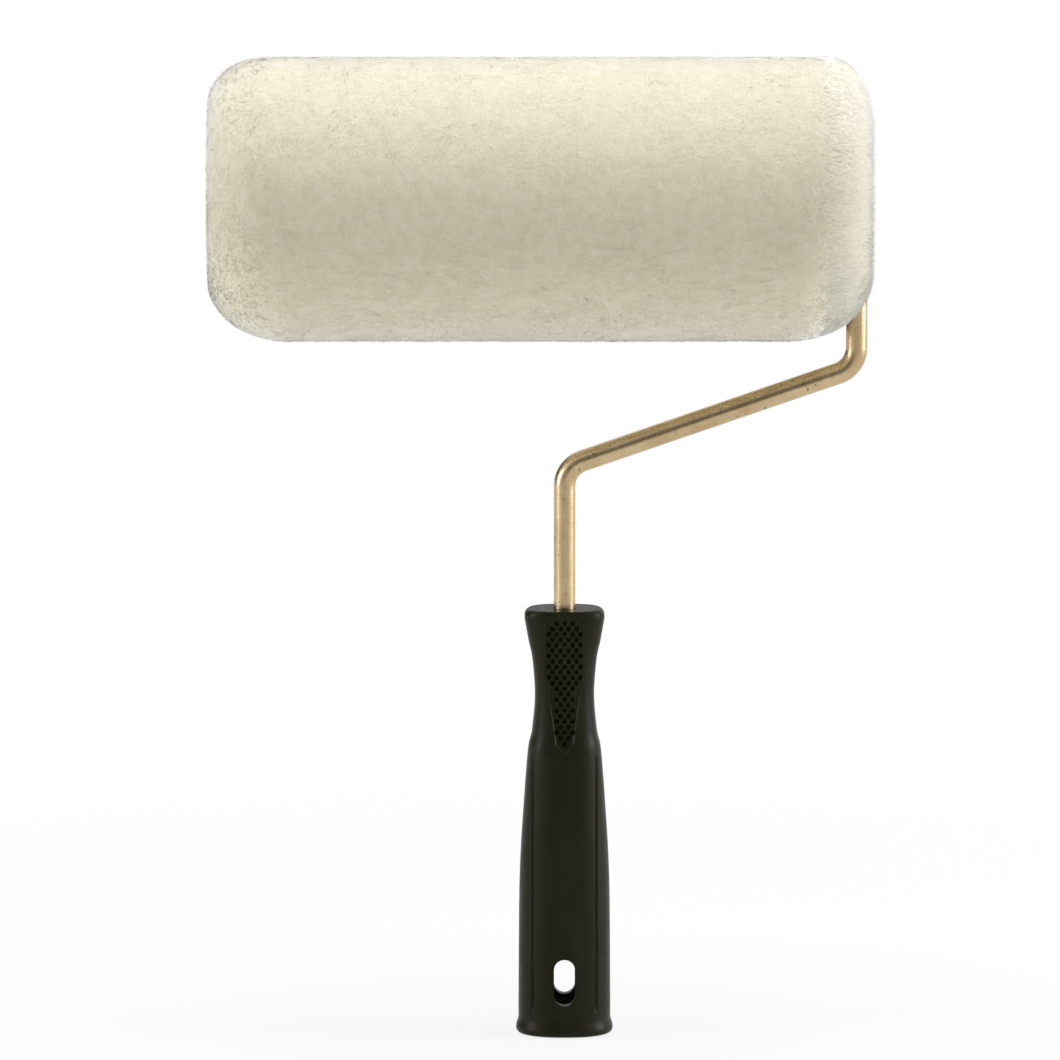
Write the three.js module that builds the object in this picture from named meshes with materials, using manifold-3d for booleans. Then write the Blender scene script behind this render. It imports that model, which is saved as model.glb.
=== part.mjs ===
// Paint roller: a moulded grip on a bent steel rod, a wire cage that turns on the rod, and a
// lambswool cover that is pushed over the cage from its free end.
//
// Millimetres. The origin is the centre of the grip's open base. +Z runs up the grip towards the
// roller, +X points to the side where the rod's leg stands, and -Y is the front.
import * as THREE from "three";
import { mergeVertices } from "three/addons/utils/BufferGeometryUtils.js";
import Module from "manifold-3d";

const wasm = await Module();
wasm.setup();

// ---------------------------------------------------------------- driving dimensions

// Clearances
const seatGap = 0.3; // between pieces that sit on each other
const runningGap = 0.3; // between pieces that turn or slide on each other
const cutMargin = 1; // how far a cutting tool runs past the face it cuts

// Rod
const rodDiameter = 8;
const bendRadius = 10; // to the rod's centreline
const tangDepth = 70; // how deep the rod is driven into the grip
const shankLength = 52.8; // grip top to the lower bend's corner
const armAngle = THREE.MathUtils.degToRad(19.1); // of the sloping arm above the horizontal
const legOffset = 107.9; // grip axis to leg axis
const legLength = 62.5; // from the arm's upper corner to the spindle axis
const rodSides = 20;
const bendSteps = 7;

// Grip
const gripLength = 159.5;
const topCornerRadius = 3.6;
const rimHeight = 4.4;
const rimHalfWidth = 18;
const rimHalfDepth = 15.9;
const creaseInset = 1.4; // from the rim's widest line to the crease above it
const socketMouthRadius = 11; // tapered socket for an extension pole
const socketEndRadius = 9.5;
const socketDepth = 70;
const slotWidth = 7.8; // hanging slot
const slotHeight = 17.5;
const slotTop = 29.5;
const grooveOffset = 11.8; // two long grip grooves on each face
const grooveWidth = 0.9;
const grooveBottom = 9.3;
const grooveTopDrop = 50; // below the grip's top
const reliefDepth = 0.6; // depth of the grooves and of the thumb panel
const panelHalfWidth = 7.6; // thumb panel
const panelTipHalfWidth = 3.5;
const panelTopDrop = 2.6;
const panelShoulderDrop = 22;
const panelTipDrop = 49.5;
const panelPointDrop = 53;
const gripSides = 36;

// The grip's outline below its top corner: drop below the top, half width and half depth.
const upperOutline = [
  [3.6, 14.85, 10.3],
  [11.7, 13.4, 9.9],
  [19.2, 11.9, 9.6],
  [32.5, 11.0, 9.6],
  [45.7, 12.1, 10.6],
  [53.3, 13.6, 11.9],
  [72.5, 15.1, 13.2],
  [91.5, 16.3, 14.1],
];
// The rest of it: height above the base, half width and half depth.
const lowerOutline = [
  [49, 16.85, 14.6],
  [10.5, 17.1, 14.9],
];

// Cover
const coreLength = 220;
const coreBoreRadius = 22;
const coreWall = 1.8;
const hideThickness = 1.3;
const pileLength = 26.8; // wool from the hide to the pile's surface
const pileCornerRadius = 24; // the corner stops short of the hide where the wool is shorter
const pileLip = 2; // least flat end between the corner and the bore
const pileOverhang = 11.2; // past the core's free end
const coreToLeg = 4.9; // the core's end to the leg's face
const pileToLeg = 1.4; // the pile's solid end to the leg's face
const coverSides = 40;
const cornerSteps = 6;

// Bearings
const ringWidth = 2;
const washerThickness = 1;
const bushWall = 1.7;
const bushFlangeThickness = 1.5;
const bushFlangeRim = 2; // how far the bush's flange stands past its body
const nutThickness = 2;
const rodEndPastNut = 1;
const rodEndInset = 0.8; // rod's free end inside the outer cap's face
const turnedSides = 32;

// End caps of the cage
const capClearance = 0.6; // cap in the core's bore
const spigotLength = 15.3;
const innerFlangeThickness = 2;
const innerFlangeRim = 0.7; // past the core's outside
const outerCapInset = 1; // outer cap's face inside the core's free end
const noseLength = 8; // taper that leads the cover on
const noseDrop = 2.9;
const capChamfer = 0.8;
const hubWall = 1.5;
const rimWall = 1.8;
const webThickness = 3.8;
const socketRingDepth = 5.2; // from the cap's inner face to its web

// Cage wires and supports
const wireCount = 5;
const wireDiameter = 3;
const wireToSpigot = 1.1; // wire's outside below the spigot's outside, at the caps
const wireBow = 1.4; // how far the wires bow out at mid length
const wireSocketDepth = 5;
const wireSteps = 10;
const wireSides = 8;
const supportCount = 2;
const supportThickness = 3;
const supportRim = 0.3; // past the wires' centres
const supportWindowRadius = 3.6;
const supportHubWall = 3;

// Dust cap
const dustCapFlange = 1; // thickness, and how far it stands past the hub
const dustCapDome = 1.3;
const dustCapSkirt = 3.6;
const dustCapWall = 1;

// ---------------------------------------------------------------- places that follow

const rodRadius = rodDiameter / 2;
const wireRadius = wireDiameter / 2;

// Heights above the grip's base
const lowerCornerHeight = gripLength + shankLength;
const upperCornerHeight = lowerCornerHeight + legOffset * Math.tan(armAngle);
const spindleHeight = upperCornerHeight + legLength;

// Places along the spindle, which runs along X
const legFace = legOffset - rodRadius;
const bendStart = legOffset - bendRadius;
const coreInnerEnd = legFace - coreToLeg;
const coreOuterEnd = coreInnerEnd - coreLength;
const pileInnerEnd = legFace - pileToLeg;
const pileOuterEnd = coreOuterEnd - pileOverhang;

// Rod side: stop ring, washer and bush, from the bend inwards
const ringEnd = bendStart - seatGap;
const innerWasherEnd = ringEnd - ringWidth - runningGap;
const innerBushEnd = innerWasherEnd - washerThickness - runningGap;
const innerRecessFloor = innerBushEnd - bushFlangeThickness - seatGap;
const innerFlangeFace = coreInnerEnd + seatGap;
const innerCapEnd = innerFlangeFace + innerFlangeThickness;
const innerCapFace = innerFlangeFace - spigotLength;

// Free side: nut, washer and bush, from the rod's end inwards
const outerCapEnd = coreOuterEnd + outerCapInset;
const spindleEnd = outerCapEnd + rodEndInset;
const nutEnd = spindleEnd + rodEndPastNut;
const outerWasherEnd = nutEnd + nutThickness + runningGap;
const outerBushEnd = outerWasherEnd + washerThickness + runningGap;
const outerRecessFloor = outerBushEnd + bushFlangeThickness + seatGap;
const outerCapFace = outerCapEnd + spigotLength;

// Radii about the spindle
const bushBore = rodRadius + runningGap;
const bushRadius = bushBore + bushWall;
const bushFlangeRadius = bushRadius + bushFlangeRim;
const fastenerRadius = bushFlangeRadius - 1; // stop ring and push-on nut
const recessRadius = bushFlangeRadius + 1;
const hubRadius = recessRadius + hubWall;
const coreRadius = coreBoreRadius + coreWall;
const hideBore = coreRadius + seatGap;
const hideRadius = hideBore + hideThickness;
const pileBore = hideRadius + seatGap;
const pileRadius = hideRadius + pileLength;
const spigotRadius = coreBoreRadius - capClearance;
const noseRadius = spigotRadius - noseDrop;
const innerFlangeRadius = coreRadius + innerFlangeRim;
const wirePitch = spigotRadius - wireToSpigot - wireRadius;
const socketRingBore = wirePitch - wireRadius - seatGap - wireToSpigot / 2;

// ---------------------------------------------------------------- shared geometry

// Corner radius of a regular polygon whose flats lie at the given radius.
function overFlats(radius, sides) {
  return radius / Math.cos(Math.PI / sides);
}

// Points of a regular polygon about the origin.
function polygon(radius, sides) {
  const points = [];
  for (let i = 0; i < sides; i += 1) {
    const angle = (2 * Math.PI * i) / sides;
    points.push(new THREE.Vector2(Math.cos(angle), Math.sin(angle)).multiplyScalar(radius));
  }
  return points;
}

// A body turned about Z from [along, radius] points that run around its section. The section ends
// on the axis or closes on itself, and may be given in either direction.
function turned(section, sides = turnedSides) {
  const points = section.map(([along, radius]) => new THREE.Vector2(radius, along));
  const onAxis = section[0][1] === 0;
  if (!onAxis) {
    points.push(points[0].clone());
  }
  if (THREE.ShapeUtils.area(points) < 0) {
    points.reverse();
  }
  return new THREE.LatheGeometry(points, sides).rotateX(Math.PI / 2);
}

// A plain ring about Z.
function ring(start, end, bore, radius, sides = turnedSides) {
  return turned([[start, bore], [end, bore], [end, radius], [start, radius]], sides);
}

// A cylinder along Z between two heights.
function cylinder(start, end, startRadius, endRadius, sides) {
  const made = new THREE.CylinderGeometry(endRadius, startRadius, end - start, sides);
  return made.rotateX(Math.PI / 2).translate(0, 0, (start + end) / 2);
}

// Points of an arc in a section, from one angle to another about a centre.
function arcPoints(centreAlong, centreRadius, radius, fromAngle, toAngle, steps) {
  const points = [];
  for (let i = 0; i <= steps; i += 1) {
    const angle = fromAngle + ((toAngle - fromAngle) * i) / steps;
    points.push([centreAlong + radius * Math.cos(angle), centreRadius + radius * Math.sin(angle)]);
  }
  return points;
}

// The closed solid of a geometry.
function solidOf(geometry) {
  const bare = geometry.clone();
  bare.deleteAttribute("normal");
  bare.deleteAttribute("uv");
  const merged = mergeVertices(bare, 1e-4);
  return new wasm.Manifold(
    new wasm.Mesh({
      numProp: 3,
      vertProperties: merged.attributes.position.array,
      triVerts: new Uint32Array(merged.index.array),
    }),
  );
}

// The geometry of a closed solid.
function geometryOf(solid) {
  const mesh = solid.getMesh();
  const geometry = new THREE.BufferGeometry();
  geometry.setAttribute("position", new THREE.BufferAttribute(mesh.vertProperties, 3));
  geometry.setIndex(new THREE.BufferAttribute(mesh.triVerts, 1));
  geometry.computeVertexNormals();
  return geometry;
}

// A path that is known only at its stations, each with a point and a direction.
class StationPath extends THREE.Curve {
  constructor(stations) {
    super();
    this.stations = stations;
  }

  stationAt(u) {
    return this.stations[Math.round(u * (this.stations.length - 1))];
  }

  getPointAt(u) {
    return this.stationAt(u).point.clone();
  }

  getTangentAt(u) {
    return this.stationAt(u).direction.clone();
  }
}

// Stations along straight runs between corners, with a round bend at each inner corner.
function bentStations(corners, radius, steps) {
  const heading = (i) => corners[i + 1].clone().sub(corners[i]).normalize();
  const stations = [{ point: corners[0].clone(), direction: heading(0) }];
  for (let i = 1; i < corners.length - 1; i += 1) {
    const before = heading(i - 1);
    const after = heading(i);
    const turn = before.angleTo(after);
    const start = corners[i].clone().addScaledVector(before, -radius * Math.tan(turn / 2));
    const inward = after.clone().addScaledVector(before, -after.dot(before)).normalize();
    const centre = start.clone().addScaledVector(inward, radius);
    for (let s = 0; s <= steps; s += 1) {
      const angle = (turn * s) / steps;
      stations.push({
        point: centre
          .clone()
          .addScaledVector(inward, -radius * Math.cos(angle))
          .addScaledVector(before, radius * Math.sin(angle)),
        direction: before.clone().multiplyScalar(Math.cos(angle)).addScaledVector(inward, Math.sin(angle)),
      });
    }
  }
  const last = corners.length - 1;
  stations.push({ point: corners[last].clone(), direction: heading(last - 1) });
  return stations;
}

// A round bar along stations.
function barAlong(stations, radius, sides) {
  return new THREE.ExtrudeGeometry(new THREE.Shape(polygon(radius, sides)), {
    steps: stations.length - 1,
    extrudePath: new StationPath(stations),
  });
}

// ---------------------------------------------------------------- materials

const finishes = {
  polypropylene: { color: "#25241a", roughness: 0.5, metalness: 0 },
  passivatedSteel: { color: "#b3996b", roughness: 0.38, metalness: 0.9 },
  springSteel: { color: "#8f9194", roughness: 0.35, metalness: 1 },
  zincSteel: { color: "#a9adb0", roughness: 0.4, metalness: 1 },
  nylon: { color: "#d9d6cc", roughness: 0.5, metalness: 0 },
  acetal: { color: "#e9e7df", roughness: 0.4, metalness: 0 },
  phenolicPaper: { color: "#7a5232", roughness: 0.7, metalness: 0 },
  hide: { color: "#cdbd97", roughness: 0.9, metalness: 0 },
  wool: { color: "#e2ddc8", roughness: 1, metalness: 0 },
};

function piece(name, geometry, finish) {
  const mesh = new THREE.Mesh(geometry, new THREE.MeshStandardMaterial(finishes[finish]));
  mesh.name = name;
  return mesh;
}

// ---------------------------------------------------------------- grip

// The grip's outer body, made smaller all round by an inset.
function gripBody(inset) {
  const stations = [
    ...[...lowerOutline].reverse(),
    ...upperOutline.map(([drop, width, depth]) => [gripLength - drop, width, depth]).reverse(),
  ];
  const side = new THREE.CatmullRomCurve3(
    stations.map(([height, width, depth]) => new THREE.Vector3(width, depth, height)),
    false,
    "centripetal",
  );
  const rimWidths = [
    [0, -1],
    [0.28 * rimHeight, 0],
    [0.62 * rimHeight, 0],
    [0.92 * rimHeight, -1],
    [1.08 * rimHeight, -creaseInset],
  ];
  const rim = rimWidths.map(
    ([height, step]) => new THREE.Vector3(rimHalfWidth + step, rimHalfDepth + step, height),
  );
  const [, topWidth, topDepth] = upperOutline[0];
  const crown = arcPoints(-topCornerRadius, -topCornerRadius, topCornerRadius, Math.PI / 2, 0, 4)
    .slice(1)
    .map(([along, out]) => new THREE.Vector3(topWidth + out, topDepth + out, gripLength + along));
  const outline = [...rim, ...side.getPoints(2 * (stations.length - 1)), ...crown];
  const base = new THREE.Vector2(0, 0);
  const top = new THREE.Vector2(0, gripLength);
  const points = [base, ...outline.map((p) => new THREE.Vector2(p.x - inset, p.z)), top];
  const body = new THREE.LatheGeometry(points, gripSides);
  const position = body.attributes.position;
  for (let i = 0; i < position.count; i += 1) {
    const station = outline[(i % points.length) - 1];
    if (station) {
      position.setZ(i, (position.getZ(i) * (station.y - inset)) / (station.x - inset));
    }
  }
  return solidOf(body.rotateX(Math.PI / 2));
}

// A flat outline in X and Z, carried through the grip along Y.
function throughCut(outline) {
  const depth = 2 * (rimHalfDepth + cutMargin);
  const prism = new THREE.ExtrudeGeometry(new THREE.Shape(outline), { depth, bevelEnabled: false });
  return solidOf(prism.rotateX(Math.PI / 2).translate(0, depth / 2, 0));
}

function hangingSlot() {
  const radius = slotWidth / 2;
  const shape = new THREE.Shape();
  shape.absarc(0, slotTop - radius, radius, 0, Math.PI);
  shape.absarc(0, slotTop - slotHeight + radius, radius, Math.PI, 2 * Math.PI);
  return throughCut(shape.getPoints(8));
}

function thumbPanel() {
  const corners = [
    [panelHalfWidth, panelTopDrop],
    [panelHalfWidth, panelShoulderDrop],
    [panelTipHalfWidth, panelTipDrop],
    [0, panelPointDrop],
    [-panelTipHalfWidth, panelTipDrop],
    [-panelHalfWidth, panelShoulderDrop],
    [-panelHalfWidth, panelTopDrop],
  ];
  return throughCut(corners.map(([x, drop]) => new THREE.Vector2(x, gripLength - drop)));
}

function gripGroove(side) {
  const inner = side * grooveOffset - grooveWidth / 2;
  const outer = side * grooveOffset + grooveWidth / 2;
  const top = gripLength - grooveTopDrop;
  return throughCut([
    new THREE.Vector2(inner, grooveBottom),
    new THREE.Vector2(outer, grooveBottom),
    new THREE.Vector2(outer, top),
    new THREE.Vector2(inner, top),
  ]);
}

function handleGrip() {
  const core = gripBody(reliefDepth);
  const relief = thumbPanel().add(gripGroove(-1)).add(gripGroove(1)).subtract(core);
  const socketSlope = (socketMouthRadius - socketEndRadius) / socketDepth;
  const socketMouth = socketMouthRadius + socketSlope * cutMargin;
  const socket = solidOf(cylinder(-cutMargin, socketDepth, socketMouth, socketEndRadius, turnedSides));
  const boreRadius = overFlats(rodRadius + seatGap, rodSides);
  const boreStart = gripLength - tangDepth;
  const bore = solidOf(cylinder(boreStart, gripLength + cutMargin, boreRadius, boreRadius, rodSides));
  return geometryOf(
    gripBody(0).subtract(relief).subtract(socket).subtract(bore).subtract(hangingSlot()),
  );
}

// ---------------------------------------------------------------- rod

// Tang, shank, sloping arm, leg and spindle in one bent rod.
function frameRod() {
  const corners = [
    new THREE.Vector3(0, 0, gripLength - tangDepth + seatGap),
    new THREE.Vector3(0, 0, lowerCornerHeight),
    new THREE.Vector3(legOffset, 0, upperCornerHeight),
    new THREE.Vector3(legOffset, 0, spindleHeight),
    new THREE.Vector3(spindleEnd, 0, spindleHeight),
  ];
  return barAlong(bentStations(corners, bendRadius, bendSteps), rodRadius, rodSides);
}

// ---------------------------------------------------------------- bearings

// A flanged bush from the cap's face to its flange, which lies at the outer end.
function bearingBush(capFace, flangeEnd) {
  const outward = Math.sign(flangeEnd - capFace);
  const flangeStart = flangeEnd - outward * bushFlangeThickness;
  const bore = overFlats(bushBore, turnedSides);
  return turned([
    [capFace, bore],
    [capFace, bushRadius],
    [flangeStart, bushRadius],
    [flangeStart, bushFlangeRadius],
    [flangeEnd, bushFlangeRadius],
    [flangeEnd, bore],
  ]);
}

function ringOnRod(start, thickness, radius) {
  return ring(start, start + thickness, overFlats(rodRadius + seatGap, turnedSides), radius);
}

// ---------------------------------------------------------------- cage

// Angle of a cage wire about the spindle.
function wireAngle(index) {
  return (2 * Math.PI * (index + 0.5)) / wireCount;
}

// Distance of the wires' centrelines from the spindle.
function wireReach(along) {
  const start = outerCapFace;
  const end = innerCapFace;
  const share = THREE.MathUtils.clamp((along - start) / (end - start), 0, 1);
  return wirePitch + wireBow * Math.sin(Math.PI * share);
}

function cageWire(index) {
  const angle = wireAngle(index);
  const start = outerCapFace - wireSocketDepth + seatGap;
  const end = innerCapFace + wireSocketDepth - seatGap;
  const at = (along) =>
    new THREE.Vector3(Math.cos(angle), Math.sin(angle), 0).multiplyScalar(wireReach(along)).setZ(along);
  const places = [start];
  for (let i = 0; i <= wireSteps; i += 1) {
    places.push(outerCapFace + ((innerCapFace - outerCapFace) * i) / wireSteps);
  }
  places.push(end);
  const stations = places.map((along, i) => {
    const before = at(places[Math.max(i - 1, 0)]);
    const after = at(places[Math.min(i + 1, places.length - 1)]);
    return { point: at(along), direction: after.sub(before).normalize() };
  });
  return barAlong(stations, wireRadius, wireSides);
}

// The holes that the wires stand in, between two places along the spindle.
function wireHoles(start, end) {
  const holes = [];
  for (let i = 0; i < wireCount; i += 1) {
    const reach = wireReach((start + end) / 2);
    const hole = cylinder(start, end, wireRadius + seatGap, wireRadius + seatGap, wireSides + 4);
    hole.translate(reach * Math.cos(wireAngle(i)), reach * Math.sin(wireAngle(i)), 0);
    holes.push(solidOf(hole));
  }
  return holes.reduce((all, hole) => all.add(hole));
}

// A moulded cap: hub with a bush bore and a bearing recess, web, and a ring of wire sockets.
// Its edge is the outline from the spigot to the dish on its outer side.
function endCap(face, end, recessFloor, edge, dishRadius) {
  const outward = Math.sign(end - face);
  const webInner = face + outward * socketRingDepth;
  const webOuter = webInner + outward * webThickness;
  const bore = overFlats(bushRadius + seatGap, turnedSides);
  const recess = overFlats(recessRadius, turnedSides);
  const body = turned([
    [face, bore],
    [face, hubRadius],
    [webInner, hubRadius],
    [webInner, socketRingBore],
    [face, socketRingBore],
    [face, spigotRadius - capChamfer],
    [face + outward * capChamfer, spigotRadius],
    ...edge,
    [end, dishRadius],
    [webOuter, dishRadius],
    [webOuter, hubRadius],
    [end, hubRadius],
    [end, recess],
    [recessFloor, recess],
    [recessFloor, bore],
  ]);
  const holeStart = Math.min(face - outward * cutMargin, face + outward * wireSocketDepth);
  const holeEnd = Math.max(face - outward * cutMargin, face + outward * wireSocketDepth);
  return geometryOf(solidOf(body).subtract(wireHoles(holeStart, holeEnd)));
}

function innerEndCap() {
  const edge = [
    [innerFlangeFace, spigotRadius],
    [innerFlangeFace, innerFlangeRadius],
    [innerCapEnd, innerFlangeRadius],
  ];
  return endCap(innerCapFace, innerCapEnd, innerRecessFloor, edge, spigotRadius - rimWall);
}

function outerEndCap() {
  const edge = [
    [outerCapEnd + noseLength, spigotRadius],
    [outerCapEnd, noseRadius],
  ];
  return endCap(outerCapFace, outerCapEnd, outerRecessFloor, edge, noseRadius - rimWall);
}

// A disc that the wires lie on, with a window between each two wires.
function cageSupport(middle) {
  const start = middle - supportThickness / 2;
  const end = middle + supportThickness / 2;
  const hubBore = rodRadius + 2 * runningGap;
  const rimRadius = wireReach(middle) + supportRim;
  const disc = solidOf(ring(start, end, hubBore, rimRadius));
  const windowReach = (hubBore + supportHubWall + rimRadius) / 2;
  const windows = [];
  for (let i = 0; i < wireCount; i += 1) {
    const angle = wireAngle(i + 0.5);
    const hole = cylinder(
      start - cutMargin,
      end + cutMargin,
      supportWindowRadius,
      supportWindowRadius,
      wireSides + 4,
    );
    hole.translate(windowReach * Math.cos(angle), windowReach * Math.sin(angle), 0);
    windows.push(solidOf(hole));
  }
  const cut = windows.reduce((all, hole) => all.add(hole), wireHoles(start - cutMargin, end + cutMargin));
  return geometryOf(disc.subtract(cut));
}

// A snap-in cap over the rod's free end: a domed disc with a skirt in the bearing recess.
function outerDustCap() {
  const skirtRadius = recessRadius - seatGap;
  const seat = outerCapEnd - seatGap;
  const back = seat - dustCapFlange;
  return turned([
    [seat, 0],
    [seat, skirtRadius - dustCapWall],
    [outerCapEnd + dustCapSkirt, skirtRadius - dustCapWall],
    [outerCapEnd + dustCapSkirt, skirtRadius],
    [seat, skirtRadius],
    [seat, hubRadius + dustCapFlange],
    [back, hubRadius + dustCapFlange],
    [back - 0.7 * dustCapDome, hubRadius / 2],
    [back - dustCapDome, 0],
  ]);
}

// ---------------------------------------------------------------- cover

// The wool's solid: a thick sleeve whose outer edges are rounded.
function fleecePile() {
  const corner = Math.min(pileCornerRadius, pileRadius - pileBore - pileLip);
  const shoulder = pileRadius - corner;
  const outerCorner = arcPoints(pileOuterEnd + corner, shoulder, corner, Math.PI, Math.PI / 2, cornerSteps);
  const innerCorner = arcPoints(pileInnerEnd - corner, shoulder, corner, Math.PI / 2, 0, cornerSteps);
  return turned(
    [[pileInnerEnd, pileBore], [pileOuterEnd, pileBore], ...outerCorner, ...innerCorner],
    coverSides,
  );
}

// ---------------------------------------------------------------- assembly

// The spindle's frame: its Z axis lies along the world's +X, at the spindle's height.
const spindle = new THREE.Group();
spindle.rotation.y = Math.PI / 2;
spindle.position.z = spindleHeight;

const frame = new THREE.Group();
frame.add(
  piece("handle_grip", handleGrip(), "polypropylene"),
  piece("frame_rod", frameRod(), "passivatedSteel"),
);

spindle.add(
  piece("stop_ring", ringOnRod(ringEnd - ringWidth, ringWidth, fastenerRadius), "zincSteel"),
  piece(
    "inner_thrust_washer",
    ringOnRod(innerWasherEnd - washerThickness, washerThickness, bushFlangeRadius),
    "zincSteel",
  ),
  piece("outer_thrust_washer", ringOnRod(outerWasherEnd, washerThickness, bushFlangeRadius), "zincSteel"),
  piece("push_on_nut", ringOnRod(nutEnd, nutThickness, fastenerRadius), "springSteel"),
);

const cage = new THREE.Group();
cage.add(
  piece("inner_end_cap", innerEndCap(), "nylon"),
  piece("outer_end_cap", outerEndCap(), "nylon"),
  piece("inner_bearing_bush", bearingBush(innerCapFace, innerBushEnd), "acetal"),
  piece("outer_bearing_bush", bearingBush(outerCapFace, outerBushEnd), "acetal"),
  piece("outer_dust_cap", outerDustCap(), "nylon"),
);
for (let i = 0; i < wireCount; i += 1) {
  cage.add(piece(`cage_wire_${i + 1}`, cageWire(i), "springSteel"));
}
for (let i = 0; i < supportCount; i += 1) {
  const middle = innerCapFace + ((outerCapFace - innerCapFace) * (i + 1)) / (supportCount + 1);
  cage.add(piece(`cage_support_${i + 1}`, cageSupport(middle), "nylon"));
}

const cover = new THREE.Group();
const coreTube = ring(coreOuterEnd, coreInnerEnd, coreBoreRadius, coreRadius, coverSides);
const hideBacking = ring(coreOuterEnd, coreInnerEnd, hideBore, hideRadius, coverSides);
cover.add(
  piece("core_tube", coreTube, "phenolicPaper"),
  piece("hide_backing", hideBacking, "hide"),
  piece("fleece_pile", fleecePile(), "wool"),
);

spindle.add(cage, cover);

const paintRoller = new THREE.Group();
paintRoller.add(frame, spindle);

export default paintRoller;
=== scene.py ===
"""Paint roller with a lambswool cover: the visual model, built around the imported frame.

Shapes are worked out in millimetres with numpy and put into meshes in metres. The frame's origin is
the centre of the grip's open base, +Z runs up the grip, +X points to the rod's leg, and -Y is the
front.
"""

import logging
import math
from collections.abc import Sequence
from dataclasses import dataclass, field
from enum import Enum

import bpy
import numpy as np
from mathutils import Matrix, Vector


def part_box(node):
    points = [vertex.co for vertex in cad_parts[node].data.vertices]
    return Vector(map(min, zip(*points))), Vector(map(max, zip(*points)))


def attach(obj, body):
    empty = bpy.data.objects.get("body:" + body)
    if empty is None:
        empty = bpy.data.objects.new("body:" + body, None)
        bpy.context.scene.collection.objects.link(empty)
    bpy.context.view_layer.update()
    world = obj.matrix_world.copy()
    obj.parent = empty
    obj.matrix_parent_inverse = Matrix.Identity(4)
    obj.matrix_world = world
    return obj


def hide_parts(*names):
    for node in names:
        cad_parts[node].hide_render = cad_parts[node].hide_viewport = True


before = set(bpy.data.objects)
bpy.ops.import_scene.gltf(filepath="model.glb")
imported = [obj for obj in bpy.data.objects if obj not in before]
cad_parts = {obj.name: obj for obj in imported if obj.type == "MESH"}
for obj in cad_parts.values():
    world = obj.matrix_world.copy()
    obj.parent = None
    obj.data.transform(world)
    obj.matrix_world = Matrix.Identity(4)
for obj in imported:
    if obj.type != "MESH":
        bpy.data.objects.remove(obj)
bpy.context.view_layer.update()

LOG = logging.getLogger("paint_roller")
MM = 0.001
TAU = 2 * math.pi
BAKE_MAP = "OFBake"  # a piece's own map: U runs round it and V along it
Array = np.ndarray
SHARP_DEGREES = 40  # edges that turn more than this are shaded sharp


# ------------------------------------------------------------------ colours and nodes


def linear(hex_colour: str) -> tuple[float, float, float, float]:
    """Turns an sRGB hex colour into linear RGBA.

    Args:
        hex_colour: A colour such as "#a1b2c3".

    Returns:
        Linear red, green and blue, and an alpha of 1.
    """
    channels = [int(hex_colour[i : i + 2], 16) / 255 for i in (1, 3, 5)]
    curve = [c / 12.92 if c <= 0.04045 else ((c + 0.055) / 1.055) ** 2.4 for c in channels]
    return (*curve, 1.0)


def add_node(
    tree: bpy.types.NodeTree,
    kind: str,
    settings: dict[str, object] | None = None,
    inputs: dict[str | int, object] | None = None,
) -> bpy.types.Node:
    """Adds a node with its settings, values and links.

    Args:
        tree: The node tree.
        kind: The node's type without "ShaderNode", such as "Math".
        settings: Properties of the node.
        inputs: Socket name or number to a value, or to an output socket that it is linked from.

    Returns:
        The new node.
    """
    node = tree.nodes.new("ShaderNode" + kind)
    for name, value in (settings or {}).items():
        setattr(node, name, value)
    for key, value in (inputs or {}).items():
        if isinstance(value, bpy.types.NodeSocket):
            tree.links.new(value, node.inputs[key])
        else:
            node.inputs[key].default_value = value
    return node


def blank_material(name: str) -> tuple[bpy.types.Material, bpy.types.NodeTree]:
    """Makes a material with an empty node tree.

    Args:
        name: The material's name.

    Returns:
        The material and its tree.
    """
    material = bpy.data.materials.new(name)
    material.use_nodes = True
    material.node_tree.nodes.clear()
    return material, material.node_tree


# ------------------------------------------------------------------ finishes


@dataclass(frozen=True)
class Grain:
    """A noise pattern: the real size of its largest grains, the number of finer layers in it, and
    how much coarser it is along each axis. It lies in the piece's own space or, where the real size
    of the piece's map is given, on that map."""

    size_mm: float
    layers: float
    stretch: tuple[float, float, float] = (1, 1, 1)
    map_metres: tuple[float, float, float] | None = None


@dataclass(frozen=True)
class Tone:
    """A colour laid over the ones before it: none of it where the grain's value is start, and its
    full share of it where the value is end."""

    grain: str
    start: float
    end: float
    colour: str
    share: float = 1.0


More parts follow.
